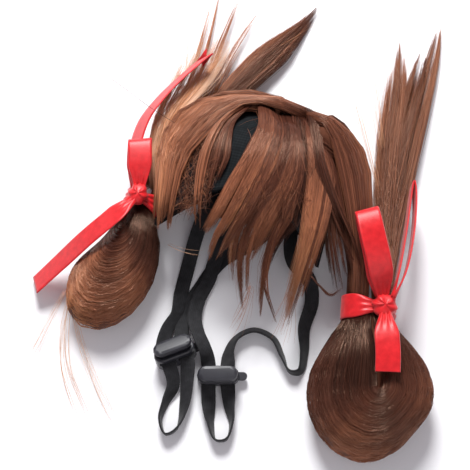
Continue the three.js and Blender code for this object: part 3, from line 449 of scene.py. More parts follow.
def strand_object(name, lines, radii, colours, material):
    """Many hairs as one mesh: prisms along lines (hairs, points, 3), with a colour at each point."""
    hairs, points = lines.shape[:2]
    along = tangents(lines)
    aside = unit(RANDOM.normal(size=(hairs, 1, 3)))
    across = unit(np.cross(along, aside))
    raised = np.cross(across, along)
    angles = np.arange(3) * 2 * np.pi / 3
    rings = (lines[:, :, None]
             + radii[:, :, None, None] * across[:, :, None] * np.cos(angles)[:, None]
             + radii[:, :, None, None] * raised[:, :, None] * np.sin(angles)[:, None])
    rings[..., 2] = np.maximum(rings[..., 2], 0.05)
    first = np.arange(hairs)[:, None, None] * points * 3
    row = np.arange(points - 1)[None, :, None] * 3
    side = np.arange(3)[None, None]
    here = first + row + side
    turn = first + row + (side + 1) % 3
    quads = np.stack([here, turn, turn + 3, here + 3], -1).reshape(-1, 4)
    start = (first[:, 0] + np.array([2, 1, 0])).reshape(-1, 3)
    end = (first[:, 0] + (points - 1) * 3 + np.array([0, 1, 2])).reshape(-1, 3)
    corners = np.concatenate([quads.ravel(), start.ravel(), end.ravel()])
    sizes = np.concatenate([np.full(len(quads), 4), np.full(2 * hairs, 3)])
    mesh = bpy.data.meshes.new(name)
    mesh.vertices.add(hairs * points * 3)
    mesh.vertices.foreach_set("co", (rings.reshape(-1) * MM).astype(np.float32))
    mesh.loops.add(len(corners))
    mesh.loops.foreach_set("vertex_index", corners.astype(np.int32))
    mesh.polygons.add(len(sizes))
    mesh.polygons.foreach_set("loop_start", np.concatenate([[0], np.cumsum(sizes)[:-1]]).astype(np.int32))
    mesh.polygons.foreach_set("use_smooth", np.ones(len(sizes), bool))
    mesh.update(calc_edges=True)
    shade = mesh.attributes.new("hair_colour", "FLOAT_COLOR", "POINT")
    rgba = np.ones((hairs, points, 3, 4), np.float32)
    rgba[..., :3] = colours[:, :, None, :]
    shade.data.foreach_set("color", rgba.reshape(-1))
    cells = math.ceil(math.sqrt(hairs))
    number = corners // 3 // points
    u = (number % cells + 0.1 + 0.4 * (corners % 3)) / cells
    v = (number // cells + 0.05 + 0.9 * (corners // 3 % points) / (points - 1)) / cells
    layer = mesh.uv_layers.new(name="OFBake")
    layer.data.foreach_set("uv", np.stack([u, v], -1).ravel().astype(np.float32))
    return new_object(name, mesh, material)


# Materials.

def node_material(name):
    material = bpy.data.materials.new(name)
    material.use_nodes = True
    tree = material.node_tree
    shader = tree.nodes["Principled BSDF"]
    return material, tree, shader


def add_node(tree, kind, **settings):
    node = tree.nodes.new(kind)
    for key, value in settings.items():
        setattr(node, key, value)
    return node


def set_inputs(node, values):
    for name, value in values.items():
        node.inputs[name].default_value = value


def math_node(tree, operation, *values):
    """Arithmetic on sockets and numbers."""
    node = add_node(tree, "ShaderNodeMath", operation=operation)
    for socket, value in zip(node.inputs, values):
        if isinstance(value, float):
            socket.default_value = value
        else:
            tree.links.new(value, socket)
    return node.outputs[0]


def noise_node(tree, place, scale, detail=2.0):
    noise = add_node(tree, "ShaderNodeTexNoise")
    set_inputs(noise, {"Scale": scale, "Detail": detail})
    tree.links.new(place, noise.inputs["Vector"])
    return noise.outputs["Fac"]


def colour_between(tree, shader, factor, dark, light, low=0.0, high=1.0):
    """Base colour from a factor: dark at its low value and light at its high one."""
    ramp = add_node(tree, "ShaderNodeValToRGB")
    for stop, position, colour in zip(ramp.color_ramp.elements, (low, high), (dark, light)):
        stop.position = position
        stop.color = (*colour, 1)
    tree.links.new(factor, ramp.inputs["Fac"])
    tree.links.new(ramp.outputs["Color"], shader.inputs["Base Color"])


def bump(tree, shader, height, strength, distance):
    node = add_node(tree, "ShaderNodeBump")
    set_inputs(node, {"Strength": strength, "Distance": distance})
    tree.links.new(height, node.inputs["Height"])
    tree.links.new(node.outputs["Normal"], shader.inputs["Normal"])


def hair_material(name, roughness, specular):
    """Glossy synthetic fibre, coloured hair by hair."""
    material, tree, shader = node_material(name)
    colour = add_node(tree, "ShaderNodeAttribute", attribute_name="hair_colour")
    tree.links.new(colour.outputs["Color"], shader.inputs["Base Color"])
    set_inputs(shader, {"Roughness": roughness, "Specular IOR Level": specular,
                        "Specular Tint": (1.0, 0.62, 0.44, 1)})
    return material


def hair_core_material():
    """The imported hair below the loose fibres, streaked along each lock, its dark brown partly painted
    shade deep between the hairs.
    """
    material, tree, shader = node_material("hair core")
    place = add_node(tree, "ShaderNodeTexCoord")
    stretch = add_node(tree, "ShaderNodeMapping")
    set_inputs(stretch, {"Scale": (60, 3, 1)})
    tree.links.new(place.outputs["UV"], stretch.inputs["Vector"])
    streaks = noise_node(tree, stretch.outputs["Vector"], 3.0, 4.0)
    # Dark to mid brown streaks: hair colour, kept dark as painted shade seen between the hairs.
    colour_between(tree, shader, streaks, (0.050, 0.017, 0.010), (0.170, 0.058, 0.032), 0.3, 0.75)
    bump(tree, shader, streaks, 0.6, 0.0008)
    set_inputs(shader, {"Roughness": 0.55, "Specular IOR Level": 0.15,
                        "Specular Tint": (1.0, 0.72, 0.52, 1)})
    return material


def woven_material(name, dark, light, ribs, rows, bump_distance):
    """Cloth with ribs along its length and finer rows across, from a map in millimetres."""
    material, tree, shader = node_material(name)
    place = add_node(tree, "ShaderNodeUVMap", uv_map="cloth")
    split = add_node(tree, "ShaderNodeSeparateXYZ")
    tree.links.new(place.outputs["UV"], split.inputs["Vector"])
    waves = []
    for axis, pitch in (("X", ribs), ("Y", rows)):
        turn = math_node(tree, "MULTIPLY", split.outputs[axis], 2 * math.pi / pitch)
        waves.append(math_node(tree, "SINE", turn))
    weave = math_node(tree, "MULTIPLY_ADD", waves[0], 0.5, waves[1])
    where = add_node(tree, "ShaderNodeTexCoord")
    fuzz = noise_node(tree, where.outputs["Object"], 260.0, 3.0)
    thread = math_node(tree, "MULTIPLY", math_node(tree, "MULTIPLY_ADD", weave, 0.22, 0.5), fuzz)
    colour_between(tree, shader, thread, dark, light, 0.1, 0.5)
    bump(tree, shader, thread, 0.7, bump_distance)
    return material, shader


def elastic_material():
    material, shader = woven_material("woven elastic", (0.006, 0.006, 0.007), (0.030, 0.030, 0.034),
                                      ribs=1.1, rows=0.8, bump_distance=0.0003)
    set_inputs(shader, {"Roughness": 0.75, "Specular IOR Level": 0.3, "Sheen Weight": 0.12})
    return material


def cap_material():
    material, shader = woven_material("cap knit", (0.003, 0.004, 0.005), (0.012, 0.015, 0.017),
                                      ribs=1.6, rows=1.6, bump_distance=0.0004)
    set_inputs(shader, {"Roughness": 0.9, "Specular IOR Level": 0.2})
    return material


def satin_material():
    material, shader = woven_material("red satin", (0.50, 0.008, 0.012), (0.82, 0.020, 0.026),
                                      ribs=0.5, rows=0.35, bump_distance=0.00006)
    set_inputs(shader, {"Roughness": 0.34, "Specular IOR Level": 0.45, "Specular Tint": (1.0, 0.75, 0.75, 1),
                        "Anisotropic": 0.6, "Sheen Weight": 0.25, "Sheen Tint": (1.0, 0.55, 0.55, 1)})
    return material


def plastic_material():
    """Moulded black plastic with a fine grain."""
    material, tree, shader = node_material("moulded plastic")
    place = add_node(tree, "ShaderNodeTexCoord").outputs["Object"]
    grain = noise_node(tree, place, 160.0)
    colour_between(tree, shader, grain, (0.014, 0.014, 0.018), (0.034, 0.034, 0.044))
    bump(tree, shader, noise_node(tree, place, 1800.0, 3.0), 0.25, 0.0001)
    set_inputs(shader, {"Roughness": 0.42})
    return material


def floor_material():
    material, _, shader = node_material("white table")
    set_inputs(shader, {"Base Color": (0.93, 0.93, 0.95, 1), "Roughness": 0.9, "Specular IOR Level": 0.1})
    return material


# Camera and light.

def make_camera():
    azimuth, elevation = math.radians(CAMERA_AZIMUTH), math.radians(CAMERA_ELEVATION)
    back = Vector((
        math.sin(azimuth) * math.cos(elevation),
        -math.cos(azimuth) * math.cos(elevation),
        math.sin(elevation),
    ))
    data = bpy.data.cameras.new("camera")
    data.sensor_width = SENSOR_MM
    data.lens = SENSOR_MM * CAMERA_DISTANCE / (IMAGE_PIXELS * MM_PER_PIXEL)
    camera = bpy.data.objects.new("camera", data)
    camera.location = (Vector(CAMERA_TARGET) + CAMERA_DISTANCE * back) * MM
    camera.rotation_euler = (-back).to_track_quat("-Z", "Y").to_euler()
    bpy.context.scene.collection.objects.link(camera)
    bpy.context.scene.camera = camera


def area_light(name, place, size, power):
    data = bpy.data.lights.new(name, "AREA")
    data.shape = "DISK"
    data.size = size
    data.energy = power
    light = bpy.data.objects.new(name, data)
    light.location = place
    light.rotation_euler = (Vector(LIGHT_TARGET) - Vector(place)).to_track_quat("-Z", "Y").to_euler()
    bpy.context.scene.collection.objects.link(light)


def make_stage():
    corners = np.array([(-1, -1, 0), (1, -1, 0), (1, 1, 0), (-1, 1, 0)]) * TABLE_HALF / MM
    floor = object_from("table", corners, [[0, 1, 2, 3]], floor_material())
    world = bpy.data.worlds.new("studio")
    bpy.context.scene.world = world
    world.use_nodes = True
    set_inputs(world.node_tree.nodes["Background"], {"Color": STUDIO_COLOUR, "Strength": STUDIO_STRENGTH})
    for light in LIGHTS:
        area_light(*light)
    bpy.context.scene.view_settings.view_transform = "Standard"


# Straps.

def band_rings(centres, across, width, thickness, edge=5, flats=3, squeeze=1.0, pleat=0.0):
    """Rounded flat sections along a line, squeezed in width and pleated where they are gathered."""
    count = len(centres)
    along = tangents(centres)
    across = unit(across - along * np.sum(across * along, -1, keepdims=True))
    normal = np.cross(along, across)
    angles = np.linspace(-np.pi / 2, np.pi / 2, edge)
    half = thickness / 2
    flat = width / 2 - half
    steps = np.linspace(1, -1, flats + 2)[1:-1]
    profile = [(flat + half * math.cos(a), half * math.sin(a)) for a in angles]
    profile += [(flat * x, half) for x in steps]
    profile += [(-flat - half * math.cos(a), -half * math.sin(a)) for a in angles]
    profile += [(flat * x, -half) for x in -steps]
    profile = np.array(profile)
    sideways = profile[None, :, 0] * np.broadcast_to(squeeze, count)[:, None]
    pleats = np.cos(profile[None, :, 0] / flat * 3 * np.pi)
    raised = profile[None, :, 1] + np.broadcast_to(pleat, count)[:, None] * pleats
    rings = centres[:, None] + across[:, None] * sideways[..., None] + normal[:, None] * raised[..., None]
    return rings, profile


def band_map(profile, lengths):
    """Places of a band's vertices in millimetres: across the band and along it."""
    return np.stack([np.tile(profile[:, 0], len(lengths)), np.repeat(lengths, len(profile))], -1)


def arc_lengths(points):
    return np.concatenate([[0], np.cumsum(np.linalg.norm(np.diff(points, axis=0), axis=1))])


def strap_line(rows, count):
    rows = np.asarray(rows, float)
    shares = np.linspace(0, 1, count)
    centres = on_curve(rows[:, :3], shares)
    roll = np.radians(between(rows[:, 3:], shares))
    along = tangents(centres)
    level = unit(np.cross(along, (0, 0, 1)))
    raised = np.cross(level, along)
    return centres, level * np.cos(roll) + raised * np.sin(roll)


def make_strap(place, rows, material):
    """An elastic strap from rim to rim, through its cord lock."""
    centres, across = strap_line(rows, STRAP_STEPS)
    rings, profile = band_rings(centres, across, STRAP_WIDTH, STRAP_THICKNESS)
    lengths = arc_lengths(centres)
    piece = object_from(f"strap_{place}_elastic", *mesh_from_grid(rings), material)
    set_map(piece, "cloth", band_map(profile, lengths))
    carried(piece, "elastic", f"strap_{place}")


# Ribbons.

def at_tie(tie, along, sideways, z):
    """A point in the frame of a tie: along its axis and sideways to the right."""
    direction = math.radians(tie["axis"])
    along, sideways, z = np.broadcast_arrays(np.asarray(along, float), sideways, z)
    return np.stack([
        tie["x"] + along * math.cos(direction) - sideways * math.sin(direction),
        tie["y"] + along * math.sin(direction) + sideways * math.cos(direction),
        z,
    ], -1)


def ribbon_band(centres, across, knot):
    """A strip of ribbon, gathered into pleats where it comes near the knot."""
    distance = np.linalg.norm((centres - knot["at"]) * (1, 1, 0.5), axis=1)
    open_out = smoothstep(distance, 2, 20)
    rings, profile = band_rings(centres, across, RIBBON_WIDTH, RIBBON_THICKNESS, edge=3, flats=13,
                                squeeze=0.45 + 0.55 * open_out, pleat=0.7 * (1 - open_out))
    return rings, profile, arc_lengths(centres)


def knot_part(knot):
    """A small pleated knot: its mesh and a map in millimetres."""
    down, around = np.linspace(-1.45, 1.45, 20), np.linspace(0, 2 * np.pi, 49)[:-1]
    down, around = np.meshgrid(down, around, indexing="ij")
    pleat = 1 + 0.09 * np.cos(7 * np.sin(around) + 2 * down)
    points = np.stack([np.cos(down) * np.cos(around), np.cos(down) * np.sin(around), np.sin(down)], -1)
    places = np.stack([around.ravel() * 6, down.ravel() * 6], -1)
    return mesh_from_grid(points * pleat[..., None] * knot["size"] + knot["at"]), places


def make_ribbon(side, material):
    """A band round the tie, then the knot, loops and tail of a bow."""
    tie, bow = side["tie"], side["bow"]
    knot = bow["knot"]
    turn = np.linspace(0, 2 * np.pi, 73)
    ring = at_tie(tie, 0, tie["half_width"] * np.cos(turn), tie["z"] + tie["half_height"] * np.sin(turn))
    direction = math.radians(tie["axis"])
    axis = np.tile((math.cos(direction), math.sin(direction), 0.0), (len(ring), 1))
    bands = [ribbon_band(ring, axis, knot)]
    shares = np.linspace(0, 1, RIBBON_STEPS)
    for strip in bow["strips"]:
        first, last = np.asarray(strip["width"], float)
        across = first + (last - first) * shares[:, None]
        bands.append(ribbon_band(on_curve(strip["route"], shares), across, knot))
    knot_mesh, knot_map = knot_part(knot)
    vertices, faces = join([knot_mesh, *(mesh_from_grid(rings) for rings, _, _ in bands)])
    node = f"ribbon_{side['name']}"
    piece = object_from(f"{node}_satin", vertices, faces, material)
    band_maps = [band_map(profile, lengths) for _, profile, lengths in bands]
    set_map(piece, "cloth", np.vstack([knot_map, *band_maps]))
    carried(piece, "satin", node)


# Cap.

def rim_at(angle):
    even = (RIM_FACE + RIM_NECK) / 2
    middle = (even + RIM_EAR) / 2
    return middle + (RIM_FACE - RIM_NECK) / 2 * np.cos(angle) + (even - middle) * np.cos(2 * angle)


def cap_rings(inset, around):
    angle = np.linspace(0, 2 * np.pi, around + 1)[:-1]
    rings = []
    for share in np.linspace(0, 1, 9)[:-1]:
        rings.append((rim_at(angle) * (1 - share) + CAP["y"] * share, np.ones(around)))
    for rise in np.radians(np.linspace(0, 86, 22)):
        y = CAP["y"] + (CAP["crown"] - inset) * math.sin(rise)
        rings.append((np.full(around, y), np.full(around, math.cos(rise))))
    return np.stack([np.stack([
        CAP["x"] + (CAP["half_width"] - inset) * scale * np.sin(angle), y,
        CAP["z"] + (CAP["half_depth"] - inset) * scale * np.cos(angle),
    ], -1) for y, scale in rings])


def make_cap(material):
    """The knitted wall of the cap: down its inner face to the rim and up its outer one."""
    rings = np.concatenate([cap_rings(CAP["wall"], CAP_SIDES)[::-1], cap_rings(0, CAP_SIDES)])
    vertices, faces = mesh_from_grid(rings)
    piece = object_from("cap_knit", vertices, faces, material)
    number = np.arange(len(vertices))
    places = np.stack([number % CAP_SIDES * CAP_GIRTH / CAP_SIDES, number // CAP_SIDES * CAP_ROW], -1)
    set_map(piece, "cloth", places)
    carried(piece, "cap_cloth", "cap")


# Hair.

def on_crown(tilt, turn, lift):
    """A point over the cap: tilt 90 at the front, turn -90 at the left ear and 90 at the right."""
    tilt, turn = np.radians(tilt), np.radians(turn)
    return np.stack(np.broadcast_arrays(
        CAP["x"] + (CAP["half_width"] + lift) * np.sin(turn),
        CAP["y"] + (CAP["crown"] + lift) * np.cos(turn) * np.cos(tilt),
        CAP["z"] + (CAP["half_depth"] + lift) * np.cos(turn) * np.sin(tilt),
    ), -1)


def off_cap(points, clearance=0.8):
    """Moves points out of the cap, to its outer face."""
    centre = np.array((CAP["x"], CAP["y"], CAP["z"]))
    size = np.array((CAP["half_width"], CAP["crown"], CAP["half_depth"])) + clearance
    scaled = (points - centre) / size
    angle = np.arctan2(scaled[..., 0], scaled[..., 2])
    scaled[..., 1] = np.maximum(scaled[..., 1], 0)
    reach = np.maximum(np.linalg.norm(scaled, axis=-1, keepdims=True), 0.05)
    inside = (reach[..., 0] < 1) & (points[..., 1] > rim_at(angle))
    moved = centre + scaled / reach * size
    moved[..., 1] = np.where(points[..., 1] > CAP["y"], moved[..., 1], points[..., 1])
    return np.where(inside[..., None], moved, points)


def neck_rows(tie, side, grow=0.0):
    """Hair of one side before its tie and in it: (x, y, z, half width, half height)."""
    half = tie["half_width"] / 2 - 1 + grow
    height = tie["half_height"] * 0.72 + grow
    sideways = side * (tie["half_width"] / 2 - 0.2)
    return [
        (*at_tie(tie, BEFORE_TIE, sideways, tie["z"] + 1), half, height),
        (*at_tie(tie, IN_TIE, sideways, tie["z"]), half, height),
    ]


def swept_rows(side, lock):
    """One packed lock of a side, from the parting into the tie."""
    tie, parting = side["tie"], side["parting"]
    tilt, radius = lock
    rows = []
    for share in (0, 0.34, 0.68, 1):
        turn = parting + (side["sign"] * EAR_TURN - parting) * share
        raised = side["lift"] * 0.6 * min(PARTING_LIFT + (1 - PARTING_LIFT) * share / 0.34, 1)
        rows.append((*on_crown(tilt * (1 - TILT_EASE * share), turn, raised), radius, radius))
    before, tied = np.array(neck_rows(tie, tie["hair_side"]))
    last, neck = np.array(rows[-1][:3]), before[:3]
    rows.append((*(last + (neck - last) * TO_TIE), radius, radius))
    rows.append((*neck, radius * 0.7, radius * 0.9))
    rows.append((*tied[:3], *(tied[3:] * 0.9)))
    return rows


def front_of_cap(x, y):
    sideways = (x - CAP["x"]) / CAP["half_width"]
    upwards = max(y - CAP["y"], 0) / CAP["crown"]
    return CAP["z"] + CAP["half_depth"] * math.sqrt(max(1 - sideways ** 2 - upwards ** 2, 0.05))


def falling_rows(lock):
    """A lock that lies on the front of the cap and falls past its rim."""
    root_x, root_y, tip_x, tip_y, tip_z, bow, half = lock
    rows = []
    for share in np.linspace(0, 1, 6):
        x = root_x + (tip_x - root_x) * share + bow * 4 * share * (1 - share)
        y = root_y + (tip_y - root_y) * share
        resting = front_of_cap(x, y) + FRINGE_LIFT
        rim = rim_at(math.atan2(x - CAP["x"], resting - CAP["z"]))
        falling = ((rim - y) / (rim - tip_y)) ** 1.4 if y < rim else 0
        taper = 0.7 + share if share < 0.3 else 1 - 0.6 * ((share - 0.3) / 0.7) ** 3
        z = resting + (tip_z - resting) * falling
        rows.append((x, y, z, half * taper, FRINGE_HALF_THICKNESS * taper))
    return rows


def ends_rows(tie, ends, tip):
    """Hair from a tie out to one of its free tips."""
    before, tied = neck_rows(tie, -tie["hair_side"], -0.9)
    root_x, root_y, tip_x, tip_y, tip_z, half = tip
    x, y, _, half_width, half_height = before
    return [
        tied, (x, y, tie["z"] - 1, half_width, half_height), ends["trunk"],
        (root_x, root_y, 8, half * 1.3, 6),
        (root_x + (tip_x - root_x) * 0.42, root_y + (tip_y - root_y) * 0.5, 5.5, half * 1.1, 4.5),
        (root_x + (tip_x - root_x) * 0.76, root_y + (tip_y - root_y) * 0.8, 4, half * 0.8, 3),
        (tip_x, tip_y, tip_z, half * 0.35, 1.2),
    ]


def mat_rows(strip):
    y, low, high = strip
    middle = (low + high) / 2
    size = (MAT_HALF_WIDTH, MAT_HALF_THICKNESS)
    return [
        (low, y, 5, 2.5, 2.5), (low + (middle - low) * 0.4, y, MAT_MIDDLE, *size),
        (high + (middle - high) * 0.4, y, MAT_MIDDLE, *size), (high, y, 5, 2.5, 2.5),
    ]


def section_frame(centres):
    along = tangents(centres)
    across = unit(np.cross(along, (0, 0, 1)))
    return across, np.cross(across, along)


def core_part(rows, shrink, reach=1.0, clear=True):
    """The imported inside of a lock, pointed at both ends."""
    rows = np.asarray(rows, float)
    even = np.linspace(0, 1, CORE_STEPS)
    centres = on_curve(rows[:, :3], even * reach)
    size = between(rows[:, 3:], even * reach) * shrink
    size = size * np.minimum(np.minimum(even / 0.12, (1 - even) / 0.15), 1)[:, None] + 0.15
    across, raised = section_frame(centres)
    angles = np.arange(CORE_SIDES) * 2 * np.pi / CORE_SIDES
    rings = (centres[:, None] + across[:, None] * (size[:, :1] * np.cos(angles))[..., None]
             + raised[:, None] * (size[:, 1:] * np.sin(angles))[..., None])
    rings[..., 2] = np.maximum(rings[..., 2], 0.2)
    return mesh_from_grid(off_cap(rings) if clear else rings)


def core_object(name, node, parts, material, sides=CORE_SIDES):
    vertices, faces = join(parts)
    piece = object_from(name, vertices, faces, material)
    number = np.arange(len(vertices))
    set_map(piece, "streaks", np.stack([number % sides / sides, number // sides / CORE_STEPS], -1))
    carried(piece, "hair", node)


def wander(hairs, points, size):
    """Slow sideways drift of each hair along its length; a few stray further."""
    even = np.linspace(0, 1, points)[None]
    phase = RANDOM.uniform(0, 2 * np.pi, (hairs, 1))
    pace = RANDOM.uniform(2, 6, (hairs, 1))
    stray = np.where(RANDOM.uniform(size=(hairs, 1)) < 0.04, 6, 1)
    return size * stray * np.sin(phase + pace * even) * even


def in_disc(count):
    angle = RANDOM.uniform(0, 2 * np.pi, count)
    reach = np.sqrt(RANDOM.uniform(0.1, 1, count))
    return np.stack([reach * np.cos(angle), reach * np.sin(angle)], -1)


def wisps(places, count):
    """Shares hairs out to the nearest of a few wisps: the wisp of each hair and where it lies."""
    middles = places[RANDOM.choice(len(places), count, replace=False)]
    nearest = np.argmin(np.linalg.norm(places[:, None] - middles[None], axis=-1), axis=1)
    return nearest, middles[nearest]


def reaches(clump, apart, stagger):
    """How far along its lock each hair ends: furthest in the middle of a wisp."""
    wisp = 1 - stagger * RANDOM.uniform(0, 1, clump.max() + 1) ** 2
    edge = np.array([apart[clump == number].max() for number in range(clump.max() + 1)]) + 0.001
    outer = apart / edge[clump]
    return wisp[clump] * (1 - stagger * (0.4 * outer ** 2 + 0.8 * RANDOM.uniform(0, 1, len(clump)) ** 2))


def settled(lines, clear=True):
    """Hairs kept out of the cap and above the table."""
    lines = off_cap(lines) if clear else lines
    lines[..., 2] = np.maximum(lines[..., 2], 0.4)
    return lines


def lock_lines(rows, hairs, points, clumps, stagger, flare=0.0, pinch=0.7, drift=0.05, clear=True):
    """Hairs of a round lock, even at the root and gathered into wisps at the tip, with the wisp of each."""
    rows = np.asarray(rows, float)
    places = in_disc(hairs)
    clump, middle = wisps(places, clumps)
    even = np.linspace(0, 1, points)
    shares = even[None] * reaches(clump, np.linalg.norm(places - middle, axis=1), stagger)[:, None]
    centres = on_curve(rows[:, :3], shares)
    size = between(rows[:, 3:], shares)
    across, raised = section_frame(centres)
    gather = pinch * RANDOM.uniform(0.2, 1.2, (hairs, 1)) * even ** 1.5
    offset = places[:, None] + (middle - places)[:, None] * gather[..., None]
    aside = offset[..., 0] * (1 + flare * even ** 3) + wander(hairs, points, drift)
    rise = offset[..., 1] + wander(hairs, points, drift)
    sideways = across * (size[..., :1] * aside[..., None])
    upwards = raised * (size[..., 1:] * rise[..., None])
    return settled(centres + sideways + upwards, clear), clump


def sheet_lines(left, right, hairs, points, clumps, pinch=0.5, stagger=0.08, thick=2.0, bulge=2.0,
                drift=0.02):
    """Hairs of a flat lock between two edges, even at the root and gathered into wisps at the tip.

    Also gives the wisp of each hair and where between the edges it starts.
    """
    places = RANDOM.uniform(0, 1, (hairs, 1))
    clump, middle = wisps(places, clumps)
    even = np.linspace(0, 1, points)[None]
    start = RANDOM.uniform(0, ROOT_SPREAD, (hairs, 1))
    end = reaches(clump, np.linalg.norm(places - middle, axis=1), stagger)[:, None]
    shares = start + (end - start) * even
    gather = pinch * RANDOM.uniform(0.2, 1.2, (hairs, 1))
    aside = places + (middle - places) * gather * even ** 2.5 + wander(hairs, points, drift)
    first, last = on_curve(left, shares), on_curve(right, shares)
    lines = first + (last - first) * aside[..., None]
    lines[..., 2] += bulge * 4 * aside * (1 - aside) - thick * RANDOM.uniform(0, 1, (hairs, 1)) ** 1.5
    return settled(lines), clump, places


def swept_lines(side, points):
    """Hairs of one side as a sheet from the parting, over the cap and into the tie."""
    tie, hairs = side["tie"], side["hairs"]
    tilts, radii = np.array(side["swept"], float).T
    share = RANDOM.uniform(0, 1, (hairs, 1))
    clump, _ = wisps(share, SWEPT_WISPS)
    share = share[:, 0]
    low, high = tilts.min() - 7, tilts.max() - 4
    tilt = low + (high - low) * share
    radius = np.interp(tilt, tilts[::-1], radii[::-1])
    raised = side["lift"] + radius * (1 - 1.6 * RANDOM.uniform(0, 1, hairs) ** 1.6)
    raised = raised * (1 - 0.55 * smoothstep(tilt, 5, high))
    tilt_drift = RANDOM.normal(0, 3.0, (hairs, 2))
    stations = []
    for part, rise in SWEPT_RISE:
        start = PARTING_MIDDLE if part == 0 else side["parting"]
        turn = start + (side["sign"] * EAR_TURN - start) * part + RANDOM.normal(0, 0.6, hairs)
        leaning = tilt * (1 - TILT_EASE * part) + tilt_drift[:, 0] * math.sin(3 * part)
        leaning = leaning + tilt_drift[:, 1] * part
        stations.append(on_crown(leaning, turn, np.maximum(raised * rise, 1.2)))
    upright = np.clip(1.7 * (share - 0.5) + RANDOM.normal(0, 0.12, hairs), -0.95, 0.95)
    aside = RANDOM.uniform(-1, 1, hairs) * np.sqrt(1 - upright ** 2)
    into_tie = []
    for along, row in zip((BEFORE_TIE, IN_TIE), neck_rows(tie, tie["hair_side"])):
        sideways = tie["hair_side"] * (tie["half_width"] / 2 - 0.2) + 0.85 * row[3] * aside
        into_tie.append(at_tie(tie, along, sideways, row[2] + 0.85 * row[4] * upright))
    last, neck = stations[-1], into_tie[0]
    stations += [last + (neck - last) * TO_TIE, *into_tie]
    shares = np.tile(np.linspace(0, 1, points), (hairs, 1))
    return settled(on_curve(np.stack(stations, 1), shares)), clump


def frizz_lines(patch, points):
    """Short hairs in all directions over a patch of the front of the cap."""
    hairs = patch["hairs"]
    x = RANDOM.uniform(*patch["x"], hairs)
    y = RANDOM.uniform(*patch["y"], hairs)
    even = np.linspace(0, 1, points)[None]
    length = RANDOM.uniform(*patch["length"], (hairs, 1))
    heading = RANDOM.normal(-1.6, patch["heading"], (hairs, 1))
    curl = RANDOM.uniform(*patch["curl"], (hairs, 1))
    turn = RANDOM.uniform(0, 2 * np.pi, (hairs, 1)) + RANDOM.uniform(3, 9, (hairs, 1)) * even
    x = x[:, None] + length * np.cos(heading) * (even - 0.5) + curl * np.cos(turn)
    y = y[:, None] + length * np.sin(heading) * (even - 0.5) + curl * np.sin(turn)
    lift = RANDOM.uniform(*patch["lift"], (hairs, 1)) + 0.4 * np.sin(turn)
    height = np.vectorize(front_of_cap)(x, y)
    return settled(np.stack([x, y, height + lift], -1))


def loop_table(table):
    """Rows of a folded loop, smoothed and closed at the fold."""
    table = np.asarray(table, float)
    closed = np.vstack([table, table[-1] * (1, 1, 0, 0, 1) + (LOOP_END, 0, 0, 0, 0)])
    return on_curve(closed, np.linspace(0, 1, 150))


def loop_surface(tie, table, slit, along, share, layer):
    """A point of a folded loop, dented along its slit: layer 1 is its upper face, -1 its lower face."""
    table = loop_table(table)
    slit_end, slit_share = slit
    shift, half, height, z = (np.interp(along, table[:, 0], column) for column in table.T[1:])
    share = np.clip(share, -1, 1)
    dented = smoothstep(along, 6, 16) * (1 - smoothstep(along, slit_end - 14, slit_end + 10))
    dent = 1 - 0.3 * dented * np.exp(-((share - slit_share) / 0.14) ** 2)
    rise = height * np.sqrt(np.maximum(1 - share ** 2, 0)) * dent * layer
    return at_tie(tie, along, shift + share * half, np.maximum(z + rise, 0.4))


def loop_lines(tie, table, slit, hairs, points):
    """Hairs of a folded loop, as nested arcs round the end of its slit, with how far out each lies."""
    along, shift, half = loop_table(table).T[:3]
    slit_end, slit_share = slit
    edge_along = np.concatenate([along, along[::-1]])
    edge_aside = np.concatenate([shift - half, (shift + half)[::-1]])
    travelled = arc_lengths(np.stack([edge_along, edge_aside], -1))
    out = RANDOM.uniform(0.02, 1, (hairs, 1)) ** 0.8
    nest = np.clip(out + wander(hairs, points, 0.012), 0.02, 1.03)
    shares = np.linspace(0, 1, points)[None] + RANDOM.normal(0, 0.01, (hairs, 1))
    outer_along = np.interp(shares * travelled[-1], travelled, edge_along)
    outer_aside = np.interp(shares * travelled[-1], travelled, edge_aside)
    slit_along = np.minimum(outer_along, slit_end)
    slit_aside = np.interp(slit_along, along, shift) + slit_share * np.interp(slit_along, along, half)
    hair_along = slit_along + nest * (outer_along - slit_along)
    hair_aside = slit_aside + nest * (outer_aside - slit_aside)
    width = np.maximum(np.interp(hair_along, along, half), 0.5)
    share = (hair_aside - np.interp(hair_along, along, shift)) / width
    layer = RANDOM.choice([1, -1], (hairs, 1), p=[0.75, 0.25]) * RANDOM.uniform(0.92, 1.03, (hairs, 1))
    return loop_surface(tie, table, slit, hair_along, share, layer), out


def tapered(hairs, points, thick, root=0.8, tip=0.3):
    """Radius along each hair."""
    even = np.linspace(0, 1, points)
    swell = np.minimum(root + (1 - root) * even / 0.15, 1)
    fade = np.where(even > 0.7, 1 - (1 - tip) * (even - 0.7) / 0.3, 1)
    return thick * RANDOM.uniform(0.75, 1.25, (hairs, 1)) * (swell * fade)[None]


def toned(level):
    """Colour of hair from its tone: 0 is dark and 1 is golden."""
    return np.stack([np.interp(level, HAIR_TONES, column) for column in HAIR_COLOURS.T], -1)


def tinted(clump, points, root, tip, vary=0.1, own=0.09):
    """Colour along each hair of a lock: its wisps differ more towards the tip."""
    even = np.linspace(0, 1, points)[None]
    wisp = RANDOM.normal(0, vary, clump.max() + 1)[clump][:, None]
    level = root + (tip - root) * even + wisp * (0.4 + 0.6 * even)
    return toned(level + RANDOM.normal(0, own, (len(clump), 1)))


